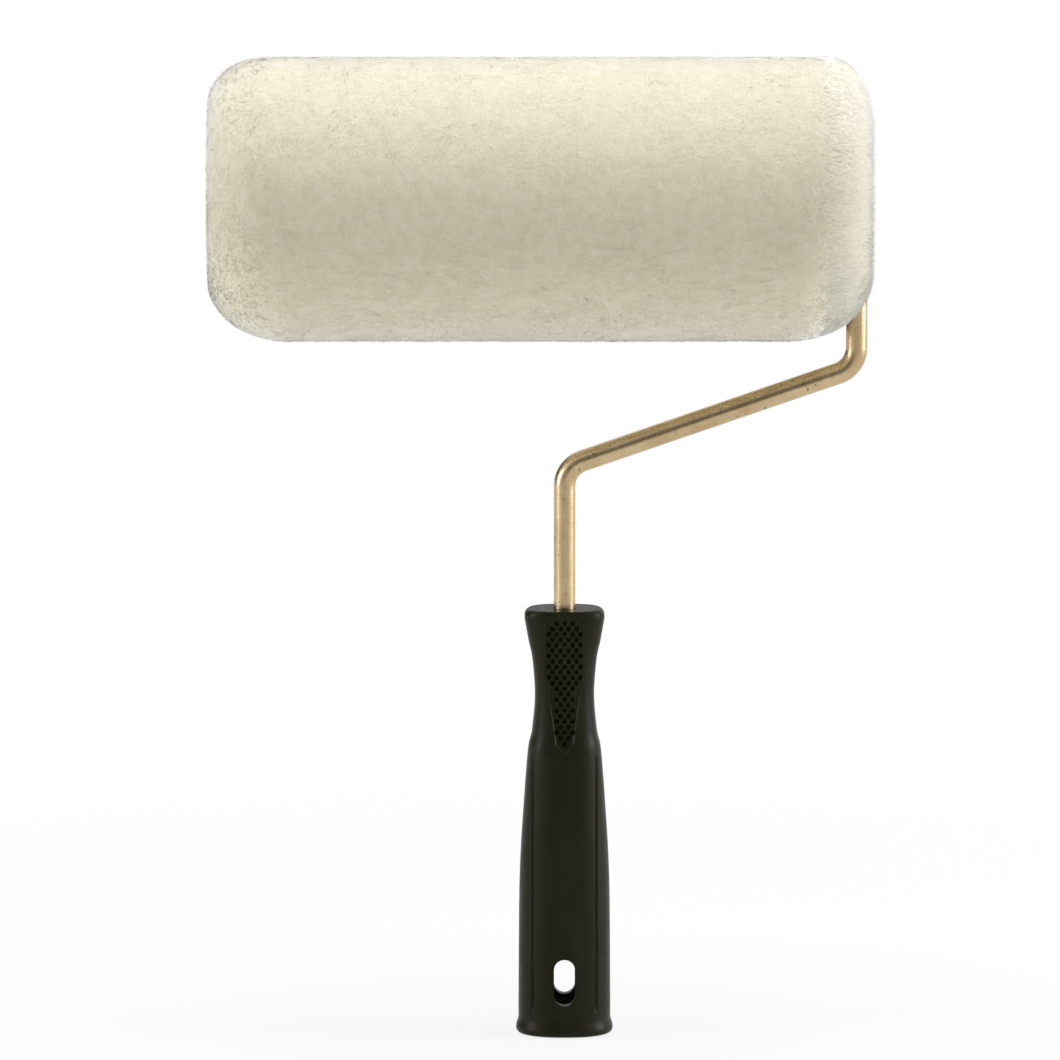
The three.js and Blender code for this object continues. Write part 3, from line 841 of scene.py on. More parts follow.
@dataclass
class Cover:
    """The lambswool cover: paper core, hide and wool. Sizes in millimetres."""

    style: StrandStyle = StrandStyle()
    core_wall: float = 1.8
    hide_wall: float = 1.3
    tube_edge: float = 0.35
    tube_sides: int = 128
    fluff: float = 0.6  # how far the locks stand past the wool's solid
    nap: float = 0.45  # how deep the matted wool lies under the locks' tips
    left_inset: float = 0.3  # how far the left end stays inside the solid
    overhang: float = 12.1  # how far the loose wool spreads past the solid at the leg's side
    left_corner: tuple[float, float] = (26, 19.5)  # half axes along and out, halfway up
    right_corner: tuple[float, float] = (25.2, 24.5)
    left_droop: tuple[float, float] = (4, 2.5)  # how much larger they are underneath
    right_droop: tuple[float, float] = (6.7, 0.5)
    dips: tuple[float, float] = (2.0, 8.0)  # how far each end dips at its hole
    hole_gaps: tuple[float, float] = (-0.6, 0.2)  # the tips' and the matted wool's holes past the core
    lock_size: float = 3.0
    lock_rise: float = 0.16
    tuft_size: float = 1.5
    tuft_rise: float = 0.14
    swell_size: float = 8
    swell_rise: float = 0.12
    relief_level: float = 0.3
    mat_rows: tuple[int, ...] = (12, 32, 172, 36, 6)  # left end, corner, side, corner, right end
    mat_sides: int = 360
    right_bore_rows: tuple[float, ...] = (1.5, 4, 8)  # how far into the bore, from its right end
    left_bore_rows: tuple[float, ...] = (9, 6, 3.5, 1.2)  # and from its left end
    bore_gap: float = 0.1
    end_gap: float = 0.3  # how far the matted wool stays inside the solid at its right end
    seed: int = 11

    def __post_init__(self) -> None:
        """Takes the solid's places from the frame."""
        low, high = (np.array(corner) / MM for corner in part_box("fleece_pile"))
        self.height = (low[2] + high[2]) / 2
        core = np.array(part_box("hide_backing")[1]) / MM
        hole = core[2] - self.height
        radius = high[2] - self.height
        left, right = low[0] + self.left_inset, high[0] + self.overhang
        corners = np.array([self.left_corner, self.right_corner])
        shape = (corners, np.array([self.left_droop, self.right_droop]), self.dips)
        tips_hole, mat_hole = (hole + gap for gap in self.hole_gaps)
        nap, reach = self.nap, radius + self.fluff
        self.tips = PileShape(left, right, reach, tips_hole, *shape)
        self.mat = PileShape(left + nap, right - nap, reach - nap, mat_hole, *shape, high[0])

    def build(self) -> None:
        """Builds the paper core, the hide that the wool grows from, and the wool."""
        self.tube("core", "core_tube", PHENOLIC_PAPER, self.core_wall, "core_phenolic_paper")
        self.tube("hide", "hide_backing", SHEEPSKIN_SUEDE, self.hide_wall, "sheepskin_hide")
        self.matted_wool()
        self.locks()

    def tube(self, name: str, node: str, finish: Finish, wall: float, slot: str) -> None:
        """Makes a plain tube with softened edges in place of a CAD tube.

        Args:
            name: The piece's name.
            node: The CAD tube.
            finish: Its finish.
            wall: Its wall's thickness.
            slot: The record's material slot.
        """
        low, high = (np.array(corner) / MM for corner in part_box(node))
        reach = high[2] - self.height
        corners = [(low[0], reach - wall), (high[0], reach - wall), (high[0], reach), (low[0], reach)]
        rows = turned_rows(rounded(corners, self.tube_edge), self.height, self.tube_sides)
        made = grid_piece(name, rows, Ends.LOOP, [finish.material()], mapped=True, sharp=True)
        seat(made, "cover", slot, node)

    def relief(self, points: Array) -> Array:
        """The matted wool's height: domed locks, smaller tufts and a slow swell.

        A dome is 1 - (distance to its centre / its size) squared.

        Args:
            points: Places on the wool.

        Returns:
            Heights in millimetres, mostly inwards.
        """
        _, near = nearest_centres(points, self.lock_size, self.seed)
        _, fine = nearest_centres(points, self.tuft_size, self.seed + 5)
        locks = self.lock_rise * (1 - (near / self.lock_size) ** 2)
        tufts = self.tuft_rise * (1 - (fine / self.tuft_size) ** 2)
        swell = self.swell_rise * smooth_noise(points, self.swell_size, 3)
        return locks + tufts + swell - self.relief_level

    def matted_wool(self) -> None:
        """Builds the matted wool under the locks, with the bore that sits on the hide."""
        low, high = (np.array(corner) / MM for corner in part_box("fleece_pile"))
        bore = np.array(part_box("hide_backing")[1]) / MM
        sections = [np.linspace(i, i + 1, n, endpoint=i == 4) for i, n in enumerate(self.mat_rows)]
        place = np.concatenate(sections)
        sides = self.mat_sides
        angle = np.arange(sides) * TAU / sides
        grid_place = np.repeat(place, sides)
        grid_angle = np.tile(angle, len(place))
        points = self.mat.surface(grid_place, grid_angle, self.height)
        outward = self.mat.outward(grid_place, grid_angle)
        shown = points + outward * self.relief(points)[:, None]
        rows = shown.reshape(len(place), sides, 3)
        rows[..., 0] = np.clip(rows[..., 0], low[0], high[0] - self.end_gap)
        mouth = self.mat.left + self.dips[0]
        from_right, from_left = np.array(self.right_bore_rows), np.array(self.left_bore_rows)
        wall = np.concatenate([high[0] - from_right, mouth + from_left])
        reach = np.full(len(wall), bore[2] - self.height + self.bore_gap)
        bare = turned_rows(np.stack([wall, reach], -1), self.height, sides)
        radial = np.stack([np.zeros(sides), np.cos(angle), np.sin(angle)], axis=-1)
        depth = np.clip(-self.relief(bare.reshape(-1, 3)), 0, 1).reshape(len(wall), sides, 1)
        rows = np.concatenate([rows, bare + radial * depth])
        made = grid_piece("matted_wool", rows, Ends.LOOP, [MATTED_LAMBSWOOL.material()], mapped=True)
        seat(made, "cover", "lambswool_pile", "fleece_pile")

    def places(self, random: np.random.Generator, count: int) -> tuple[Array, Array]:
        """Even random places over the wool's surface, with more where loose wool stands far out.

        Twice as many are drawn by the most that a place along the outline can need, and each is
        kept by the share that its own point needs.

        Args:
            random: The random numbers.
            count: How many places.

        Returns:
            The places along the outline and the angles.
        """
        fine = np.linspace(0, 5, 2001)
        outline = self.tips.outline(fine, np.zeros_like(fine))
        step = np.linalg.norm(np.diff(outline, axis=0), axis=1)
        middle = (outline[1:, 1] + outline[:-1, 1]) / 2
        most = np.interp(fine, *self.style.thicken_places)
        weight = np.concatenate([[0], np.cumsum(step * middle * most[1:])])
        drawn = 2 * count
        place = np.interp(random.random(drawn) * weight[-1], weight, fine)
        angle = random.random(drawn) * TAU
        dense = np.interp(self.past_edge(place, angle), *self.style.thicken)
        kept = np.flatnonzero(random.random(drawn) * np.interp(place, fine, most) < dense)[:count]
        return place[kept], angle[kept]

    def past_edge(self, place: Array, angle: Array) -> Array:
        """How far the pile's outer surface is past the matted wool's square right edge.

        Args:
            place: Places along the outline.
            angle: Angles about the spindle.

        Returns:
            Millimetres along X, negative before the edge.
        """
        return self.tips.outline(place, angle)[:, 0] - self.mat.limit

    def locks(self) -> None:
        """Builds the locks, in pieces of a fixed number of strands."""
        random = np.random.default_rng(self.seed)
        count, size = self.style.count, self.style.per_piece
        place, angle = self.places(random, count)
        paths, lit, long = self.strand_paths(place, angle, random)
        materials = [finish.material() for finish in LAMBSWOOL_LOCKS]
        last = len(materials) - 1
        tint = random.integers(1, last, count)
        # most long strands take the last tint, painted lighter to offset the shade where they stand dense
        tint = np.where(random.random(count) < self.style.long_share * long, last, tint)
        for number, start in enumerate(range(0, count, size)):
            part = slice(start, start + size)
            name = f"wool_locks_{number + 1}"
            made = self.strand_piece(name, paths[:, part], lit[part], long[part], tint[part], materials)
            seat(made, "cover", "lambswool_pile", "fleece_pile")

    def strand_paths(
        self, place: Array, angle: Array, random: np.random.Generator
    ) -> tuple[Array, Array, Array]:
        """The strands' centrelines, and the direction that each is shaded as facing.

        A strand runs from a foot in the matted wool to a tip on the pile's outer surface, and is
        combed towards the end where it covers the matted wool's right edge. The tips of one lock
        draw together towards its centre and lean the same way, and each strand crimps to one side.
        It is shaded as facing out of the pile, tipped by its lock's lean, as light spreads through
        fine wool instead of stopping at each fibre's edge.

        Args:
            place: Places along the outline.
            angle: Angles about the spindle.
            random: The random numbers.

        Returns:
            Foot, middle and tip for each strand, as 3 by strands by 3, the directions, and how
            long each strand is, from 0 to 1.
        """
        count, style = len(place), self.style
        combed = np.interp(self.past_edge(place, angle), *style.comb)
        root = self.mat.surface(self.mat.before(place, angle, combed * (place < 4)), angle, self.height)
        top = self.tips.surface(place, angle, self.height)
        outward = self.tips.outward(place, angle)
        length = np.linalg.norm(top - root, axis=1)[:, None]
        centre, _ = nearest_centres(top, self.lock_size, self.seed)
        to_centre = across(centre - top, outward)
        local = np.stack([smooth_noise(centre, 5.0, 20 + axis) for axis in range(3)], axis=-1)
        drift = np.stack([smooth_noise(centre, 22, 30 + axis) for axis in range(3)], axis=-1)
        lean = across(local + style.drift * drift, outward)
        own = style.own_rise * (random.random((count, 1)) - style.rise_level)
        lift = style.lock_rise * smooth_noise(centre, 4.0, 41)[:, None] + own
        lift -= style.sag_by_length * (length - self.nap) * random.random((count, 1))
        sideways = style.pull * to_centre + style.lean * lean
        spread = across(random.normal(0, 1, (count, 3)), outward)
        tips, feet, crimps = style.tip_by_length, style.foot_by_length, style.crimp_by_length
        tip = top + outward * lift + sideways * 0.5 + spread * (tips[0] + tips[1] * length)
        foot = root - outward * style.foot_depth - sideways * 0.5
        foot -= spread * (feet[0] + feet[1] * (length - self.nap))
        crimp = across(random.normal(0, 1, (count, 3)), outward)
        crimp /= np.linalg.norm(crimp, axis=1)[:, None]
        middle = foot + (tip - foot) * style.middle_share + crimp * (crimps[0] + crimps[1] * length)
        middle += outward * style.middle_rise
        lit = outward + 0.15 * lean + 0.12 * crimp
        lit /= np.linalg.norm(lit, axis=1)[:, None]
        long = np.clip((length[:, 0] - self.nap) / style.full_length, 0, 1)
        return np.stack([foot, middle, tip]), lit, long

    def strand_piece(
        self,
        name: str,
        paths: Array,
        lit: Array,
        long: Array,
        tint: Array,
        materials: Sequence[bpy.types.Material],
    ) -> bpy.types.Object:
        """Makes one piece of many strands: two three-sided rings and a point each.

        Args:
            name: The piece's name.
            paths: Foot, middle and tip, as 3 by strands by 3.
            lit: The direction that each strand is shaded as facing.
            long: How long each strand is, from 0 to 1.
            tint: Each strand's material slot.
            materials: The material slots.

        Returns:
            The object.
        """
        count = paths.shape[1]
        axis = paths[2] - paths[0]
        axis /= np.linalg.norm(axis, axis=1)[:, None]
        helper = np.where(np.abs(axis[:, :1]) < 0.8, [[1.0, 0, 0]], [[0, 1.0, 0]])
        side = np.cross(axis, helper)
        side /= np.linalg.norm(side, axis=1)[:, None]
        third = np.cross(axis, side)
        turn = np.arange(3) * TAU / 3
        ring = side[:, None] * np.cos(turn)[None, :, None] + third[:, None] * np.sin(turn)[None, :, None]
        thin, thick = self.style.radius
        radius = (thin + (thick - thin) * long)[:, None, None]
        shares = ((0, 1.0), (1, self.style.waist))
        rings = [paths[i][:, None] + ring * radius * share for i, share in shares]
        stacked = np.concatenate([*rings, paths[2][:, None]], axis=1)
        corners = [[0, 2, 1, -1]]
        corners += [[i, (i + 1) % 3, 3 + (i + 1) % 3, 3 + i] for i in range(3)]
        corners += [[3 + i, 3 + (i + 1) % 3, 6, -1] for i in range(3)]
        pattern = np.array(corners)
        size = stacked.shape[1]
        faces = np.where(pattern >= 0, pattern[None] + size * np.arange(count)[:, None, None], -1)
        made = make_mesh(name, stacked.reshape(-1, 3), faces.reshape(-1, 4), materials)
        slots = np.repeat(tint[:, None], len(pattern), axis=1)
        # the lower faces of short strands take the root tint: painted shade deep in the wool
        slots[long < 0.4, :4] = 0
        made.data.polygons.foreach_set("material_index", slots.ravel().astype(np.int32))
        turned = lit[:, None] + 0.2 * np.concatenate([ring, ring, np.zeros((count, 1, 3))], axis=1)
        turned /= np.linalg.norm(turned, axis=-1)[..., None]
        facing = made.data.attributes.new("custom_normal", "FLOAT_VECTOR", "POINT")
        facing.data.foreach_set("vector", turned.astype(np.float32).ravel())
        return made


def across(direction: Array, outward: Array) -> Array:
    """The part of each direction that lies across the outward one.

    Args:
        direction: Directions, one row each.
        outward: Unit directions, one row each.

    Returns:
        The directions with their outward part taken away.
    """
    return direction - outward * np.einsum("ij,ij->i", direction, outward)[:, None]


# ------------------------------------------------------------------ grip


@dataclass
class Grip:
    """The moulded grip. Sizes in millimetres."""

    # below the top, half width and half depth
    upper: tuple[tuple[float, float, float], ...] = (
        (3.6, 14.85, 10.3),
        (11.7, 13.4, 9.9),
        (19.2, 11.9, 9.6),
        (32.5, 11.0, 9.6),
        (45.7, 12.1, 10.6),
        (53.3, 13.6, 11.9),
        (72.5, 15.1, 13.2),
        (91.5, 16.3, 14.1),
    )
    # the same, above the base
    lower: tuple[tuple[float, float, float], ...] = ((49, 16.85, 14.6), (10.5, 17.1, 14.9))
    # the bead rim: shares of its height, and how far it lies past the solid's rim
    rim_profile: tuple[tuple[float, float], ...] = (
        (0.0, -1.9),
        (0.05, -1.1),
        (0.13, -0.5),
        (0.25, -0.12),
        (0.4, 0.0),
        (0.55, -0.04),
        (0.7, -0.16),
        (0.85, -0.36),
        (1.0, -0.62),
        (1.2, -0.83),
        (1.5, -0.93),
    )
    coarse_rows: tuple[float, float, float] = (10.5, 104, 1.3)  # heights from and to, and the step
    fine_step: float = 0.27  # the step above them, where the dimples are
    front_degrees: float = 64  # how far from the front's middle the columns stand close together
    front_columns: int = 140
    side_columns: int = 14
    sharp_degrees: float = 38
    corner: float = 2.5
    edge: float = 0.5
    rim_height: float = 4.4
    squareness: tuple[float, float, float] = (3.0, 2.8, 2.35)
    square_drops: tuple[float, float, float] = (0, 40, 75)  # where they hold, below the top
    relief_depth: float = 0.6
    panel_top: float = 2.6
    # the panel's half width, by how far it is below the top
    panel_outline: tuple[tuple[float, ...], tuple[float, ...]] = ((22, 49.5, 53.5), (7.6, 3.5, 0.0))
    dimple_radius: float = 0.9
    dimple_depth: float = 1.25
    dimple_pitch: tuple[float, float] = (3.0, 2.04)
    first_dimple: float = 4.4
    last_row: int = 22
    # how far from the middle the rows of dimples reach, by how far they are below the top
    dimple_reach: tuple[tuple[float, ...], tuple[float, ...]] = (
        (4, 6.6, 8.4, 22, 25.6, 31, 45, 49.5),
        (3.2, 4.7, 7, 7, 5.8, 4.4, 3.2, 1.4),
    )
    groove_offset: float = 11.8
    groove_half_width: float = 0.55
    groove_bottom: float = 9.3
    groove_top_drop: float = 50
    socket: tuple[float, float, float] = (11, 9.5, 70)  # radius at its mouth and end, and depth
    bore_radius: float = 4.12
    bore_depth: float = 60
    slot: tuple[float, float, float] = (7.8, 17.5, 29.5)  # width, height and its top

    def __post_init__(self) -> None:
        """Takes the grip's size from the frame."""
        low, high = (np.array(corner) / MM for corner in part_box("handle_grip"))
        self.length = high[2] - low[2]
        self.rim = (high[0], high[1])

    def build(self) -> None:
        """Builds the grip and cuts its hanging slot."""
        made = grid_piece("grip", self.surface(), Ends.POLES, [BLACK_POLYPROPYLENE.material()])
        self.cut_slot(made)
        made.data.set_sharp_from_angle(angle=math.radians(self.sharp_degrees))
        seat(made, "frame", "grip_polypropylene", "handle_grip")

    def side_outline(self) -> Array:
        """The outside from the rim up to the top's edge, where a quarter ellipse rounds the corner.

        Returns:
            Half width, half depth and height, one row for each point.
        """
        rim_x, rim_y = self.rim
        high = self.rim_height
        rim = np.array([(rim_x + past, rim_y + past, share * high) for share, past in self.rim_profile])
        knots = [(w, d, z) for z, w, d in reversed(self.lower)]
        knots += [(w, d, self.length - drop) for drop, w, d in reversed(self.upper)]
        side = through_points(np.array(knots), 40)
        fine = np.arange(self.coarse_rows[1], self.length - self.corner, self.fine_step)
        heights = np.concatenate([np.arange(*self.coarse_rows), fine])
        even = np.stack([np.interp(heights, side[:, 2], side[:, i]) for i in range(2)] + [heights], axis=-1)
        turn = np.linspace(0, math.pi / 2, 9)
        _, width, depth = self.upper[0]
        inset = self.corner * (1 - np.cos(turn))
        rise = self.length - self.corner * (1 - np.sin(turn))
        edge = self.edge * np.clip((np.degrees(turn) - 70) / 20, 0, 1) ** 2
        crown = np.stack([width - inset, depth - edge, rise], axis=-1)
        crease_to_side = np.linspace(rim[-1], even[0], 5)[1:-1]
        return np.concatenate([rim, crease_to_side, even, crown])

    def surface(self) -> Array:
        """The whole grip as one grid: up the socket's wall, over the base, up the outside, over the
        top and down the rod's bore. Each row is x = a c^(2/n), y = b s^(2/n), with c and s the
        cosine and sine of the column's angle, so n = 2 is an ellipse and more is squarer.

        Returns:
            Points as rows by columns by 3.
        """
        mouth, end, depth = self.socket
        outside = self.side_outline()
        inside = np.array([(0, 0, depth), (0.98 * end, 0.98 * end, depth), (end, end, depth - 0.4)])
        wall = np.linspace((end, end, depth - 1), (mouth, mouth, 0.6), 12)
        lip = np.array([(mouth + 0.15, mouth + 0.15, 0.15), (mouth + 0.6, mouth + 0.6, 0)])
        top = outside[-1]
        bore = self.bore_radius
        flat = np.linspace((top[0], top[1], top[2]), (bore + 0.5, bore + 0.5, top[2]), 6)[1:]
        down = np.array(
            [
                (bore, bore, top[2] - 0.45),
                (bore, bore, top[2] - 5),
                (bore, bore, top[2] - self.bore_depth),
                (0, 0, top[2] - self.bore_depth),
            ]
        )
        rows = np.concatenate([inside, wall, lip, outside, flat, down])
        square = np.full(len(rows), 2.0)
        first = len(inside) + len(wall) + len(lip)
        drop = self.length - outside[:, 2]
        square[first : first + len(outside)] = np.interp(drop, self.square_drops, self.squareness)
        fade = np.linspace(self.squareness[0], 2, len(flat))
        square[first + len(outside) : first + len(outside) + len(flat)] = fade
        angle = self.columns()
        c, s = np.cos(angle), np.sin(angle)
        power = (2 / square)[:, None]
        x = rows[:, :1] * np.sign(c) * np.abs(c) ** power
        y = rows[:, 1:2] * np.sign(s) * np.abs(s) ** power
        z = np.repeat(rows[:, 2:3], len(angle), axis=1)
        points = np.stack([x, y, z], axis=-1)
        shell = slice(first, first + len(outside))
        along = np.gradient(points[shell], axis=0)
        around = np.roll(points[shell], -1, axis=1) - np.roll(points[shell], 1, axis=1)
        outward = np.cross(around, along)
        outward /= np.linalg.norm(outward, axis=-1)[..., None]
        points[shell] -= outward * self.relief(points[shell])[..., None]
        return points

    def columns(self) -> Array:
        """Angles of the columns: close together on the front and back, wider at the sides.

        Returns:
            The angles, in radians.
        """
        near = self.front_degrees
        fine = np.radians(np.linspace(-near, near, self.front_columns, endpoint=False))
        wide = np.radians(np.linspace(near, 180 - near, self.side_columns, endpoint=False))
        half = np.concatenate([fine, wide])
        return np.concatenate([half, half + math.pi]) + math.pi / 2

    def relief(self, points: Array) -> Array:
        """Depths below the outside: the thumb panel, its dimples and the two long grooves.

        The panel's edge is a smooth step, a dimple is half a ball, and a groove is a parabola.

        Args:
            points: The outside's points.

        Returns:
            Depths in millimetres.
        """
        x, z = np.abs(points[..., 0]), points[..., 2]
        drop = self.length - z
        half = np.interp(drop, *self.panel_outline)
        inside = np.minimum(half - x, drop - self.panel_top)
        edge = np.clip(inside / 0.7, 0, 1)
        depth = self.relief_depth * edge * edge * (3 - 2 * edge)
        depth += self.dimples(points[..., 0], drop)
        groove = np.clip(1 - ((x - self.groove_offset) / self.groove_half_width) ** 2, 0, 1)
        top = np.clip((drop - self.groove_top_drop) / 6, 0, 1)
        bottom = np.clip((z - self.groove_bottom) / 2, 0, 1)
        return depth + self.relief_depth * groove * top * bottom

    def dimples(self, x: Array, drop: Array) -> Array:
        """Depths of the dimples, in rows whose dimples stand between those of the rows beside them.

        Args:
            x: Places across the grip.
            drop: Places below its top.

        Returns:
            Depths in millimetres.
        """
        across, down = self.dimple_pitch
        row = np.round((drop - self.first_dimple) / down)
        depth = np.zeros_like(x)
        for step in (-1, 0, 1):
            near = np.clip(row + step, 0, self.last_row)
            middle = self.first_dimple + near * down
            shift = np.where(near % 2 == 1, across / 2, 0)
            centre = np.round((x - shift) / across) * across + shift
            kept = np.abs(centre) <= np.interp(middle, *self.dimple_reach)
            away = ((x - centre) ** 2 + (drop - middle) ** 2) / self.dimple_radius**2
            bowl = np.where(kept, np.sqrt(np.clip(1 - away, 0, 1)), 0)
            depth = np.maximum(depth, self.dimple_depth * bowl)
        return depth

    def cut_slot(self, grip: bpy.types.Object) -> None:
        """Cuts the hanging slot through both walls.

        Args:
            grip: The grip.
        """
        width, height, top = self.slot
        radius = width / 2
        turn = np.linspace(0, math.pi, 17)
        upper = np.stack([radius * np.cos(turn), top - radius + radius * np.sin(turn)], axis=-1)
        lower = np.stack([-radius * np.cos(turn), top - height + radius - radius * np.sin(turn)], axis=-1)
        outline = np.concatenate([upper, lower])
        ends = (-30.0, 30.0)  # well past both walls
        rows = [np.insert(outline, 1, y, axis=1) for y in ends]
        middle = outline.mean(axis=0)
        poles = [np.repeat([[middle[0], y, middle[1]]], len(outline), axis=0) for y in ends]
        tool = grid_piece("slot_tool", np.stack([poles[0], *rows, poles[1]]), Ends.POLES, [])
        cut = grip.modifiers.new("slot", "BOOLEAN")
        cut.object = tool
        cut.solver = "EXACT"
        apply_modifiers(grip)
        bpy.data.objects.remove(tool)


def through_points(knots: Array, steps: int) -> Array:
    """A Catmull-Rom curve through points: each stretch leaves and reaches its ends along the line
    between their neighbours.

    Args:
        knots: The points, one row each.
        steps: Pieces for each stretch.

    Returns:
        Points on the curve.
    """
    padded = np.concatenate([[2 * knots[0] - knots[1]], knots, [2 * knots[-1] - knots[-2]]])
    t = np.linspace(0, 1, steps, endpoint=False)[:, None]
    made = []
    for a, b, c, d in zip(padded, padded[1:], padded[2:], padded[3:]):
        cubic = (2 * a - 5 * b + 4 * c - d) * t**2 + (3 * b - a - 3 * c + d) * t**3
        made.append(0.5 * (2 * b + (c - a) * t + cubic))
    made.append(knots[-1:])
    return np.concatenate(made)


def apply_modifiers(made: bpy.types.Object) -> None:
    """Replaces a piece's mesh with its modified one and drops the modifiers.

    Args:
        made: The piece.
    """
    graph = bpy.context.evaluated_depsgraph_get()
    result = bpy.data.meshes.new_from_object(made.evaluated_get(graph))
    made.modifiers.clear()
    made.data = result


# ------------------------------------------------------------------ rod

@dataclass
class Rod:
    """The bent rod: tang, shank, sloping arm, leg and spindle. Sizes in millimetres."""

    radius: float = 4.0
    bend: float = 10.0
    shank: float = 52.8
    arm_degrees: float = 19.1
    chamfer: float = 0.6
    sides: int = 48
    steps: int = 26  # points on each run and each bend

    def __post_init__(self) -> None:
        """Takes the rod's corners from the frame."""
        low, high = (np.array(corner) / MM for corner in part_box("frame_rod"))
        grip_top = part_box("handle_grip")[1][2] / MM
        leg = high[0] - self.radius
        lower = grip_top + self.shank
        upper = lower + leg * math.tan(math.radians(self.arm_degrees))
        spindle = high[2] - self.radius
        self.corners = np.array(
            [(0, 0, low[2]), (0, 0, lower), (leg, 0, upper), (leg, 0, spindle), (low[0], 0, spindle)]
        )

    def path(self) -> Array:
        """The centreline: straight runs, and at each corner an arc of the bend's radius.

        Returns:
            Points, one row each.
        """
        made = [self.corners[:1]]
        for before, corner, after in zip(self.corners, self.corners[1:], self.corners[2:]):
            came = (corner - before) / np.linalg.norm(corner - before)
            goes = (after - corner) / np.linalg.norm(after - corner)
            turn = math.acos(np.clip(came @ goes, -1, 1))
            inward = goes - came * (came @ goes)
            inward /= np.linalg.norm(inward)
            start = corner - came * self.bend * math.tan(turn / 2)
            angle = np.linspace(0, turn, self.steps)[:, None]
            arc = start + self.bend * (inward * (1 - np.cos(angle)) + came * np.sin(angle))
            run = np.linspace(made[-1][-1], start, self.steps)[1:-1]
            made += [run, arc]
        made.append(np.linspace(made[-1][-1], self.corners[-1], self.steps)[1:])
        return np.concatenate(made)

    def build(self) -> None:
        """Builds the rod with a chamfer at each end."""
        path = self.path()
        first = path[0] + (path[1] - path[0]) / np.linalg.norm(path[1] - path[0]) * self.chamfer
        last = path[-1] + (path[-2] - path[-1]) / np.linalg.norm(path[-2] - path[-1]) * self.chamfer
        path = np.concatenate([path[:1], path[:1], [first], path[1:-1], [last], path[-1:], path[-1:]])
        radii = np.full(len(path), self.radius)
        radii[[0, -1]] = 0
        radii[[1, -2]] = self.radius - self.chamfer
        spread = path.copy()  # a hair's step at each end gives its double point a heading
        spread[0] += (path[0] - first) * 1e-3
        spread[-1] += (path[-1] - last) * 1e-3
        rows = swept_rows(spread, radii, np.array([0.0, 1.0, 0.0]), self.sides)
        made = grid_piece("rod", rows, Ends.POLES, [PASSIVATED_STEEL.material()], mapped=True, sharp=True)
        seat(made, "frame", "rod_passivated_steel", "frame_rod")


# ------------------------------------------------------------------ cage


@dataclass
class Cage:
    """The wire cage with its caps, bushes and fittings, whose CAD shapes stay."""

    wire_count: int = 5

    def build(self) -> None:
        """Dresses the cage's pieces."""
        wires = tuple(f"cage_wire_{i + 1}" for i in range(self.wire_count))
        caps = ("inner_end_cap", "outer_end_cap", "outer_dust_cap", "cage_support_1", "cage_support_2")
        self.dress(NATURAL_NYLON, caps)
        self.dress(NATURAL_ACETAL, ("inner_bearing_bush", "outer_bearing_bush"))
        self.dress(ZINC_PLATED_STEEL, ("stop_ring", "inner_thrust_washer", "outer_thrust_washer"))
        self.dress(SPRING_STEEL, ("push_on_nut", *wires))

    def dress(self, finish: Finish, nodes: tuple[str, ...]) -> None:
        """Gives CAD pieces a finish.

        Args:
            finish: The finish.
            nodes: The pieces' nodes.
        """
        material = finish.material()
        for node in nodes:
            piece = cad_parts[node]
            piece.data.materials.clear()
            piece.data.materials.append(material)
            LOG.info("%s: %s", node, finish.name)


# ------------------------------------------------------------------ stage


@dataclass(frozen=True)
class Softbox:
    """A square lamp: where it stands, the point that it faces, its side in metres and its power."""

    name: str
    place: tuple[float, float, float]
    aim: tuple[float, float, float]
    size: float
    watts: float


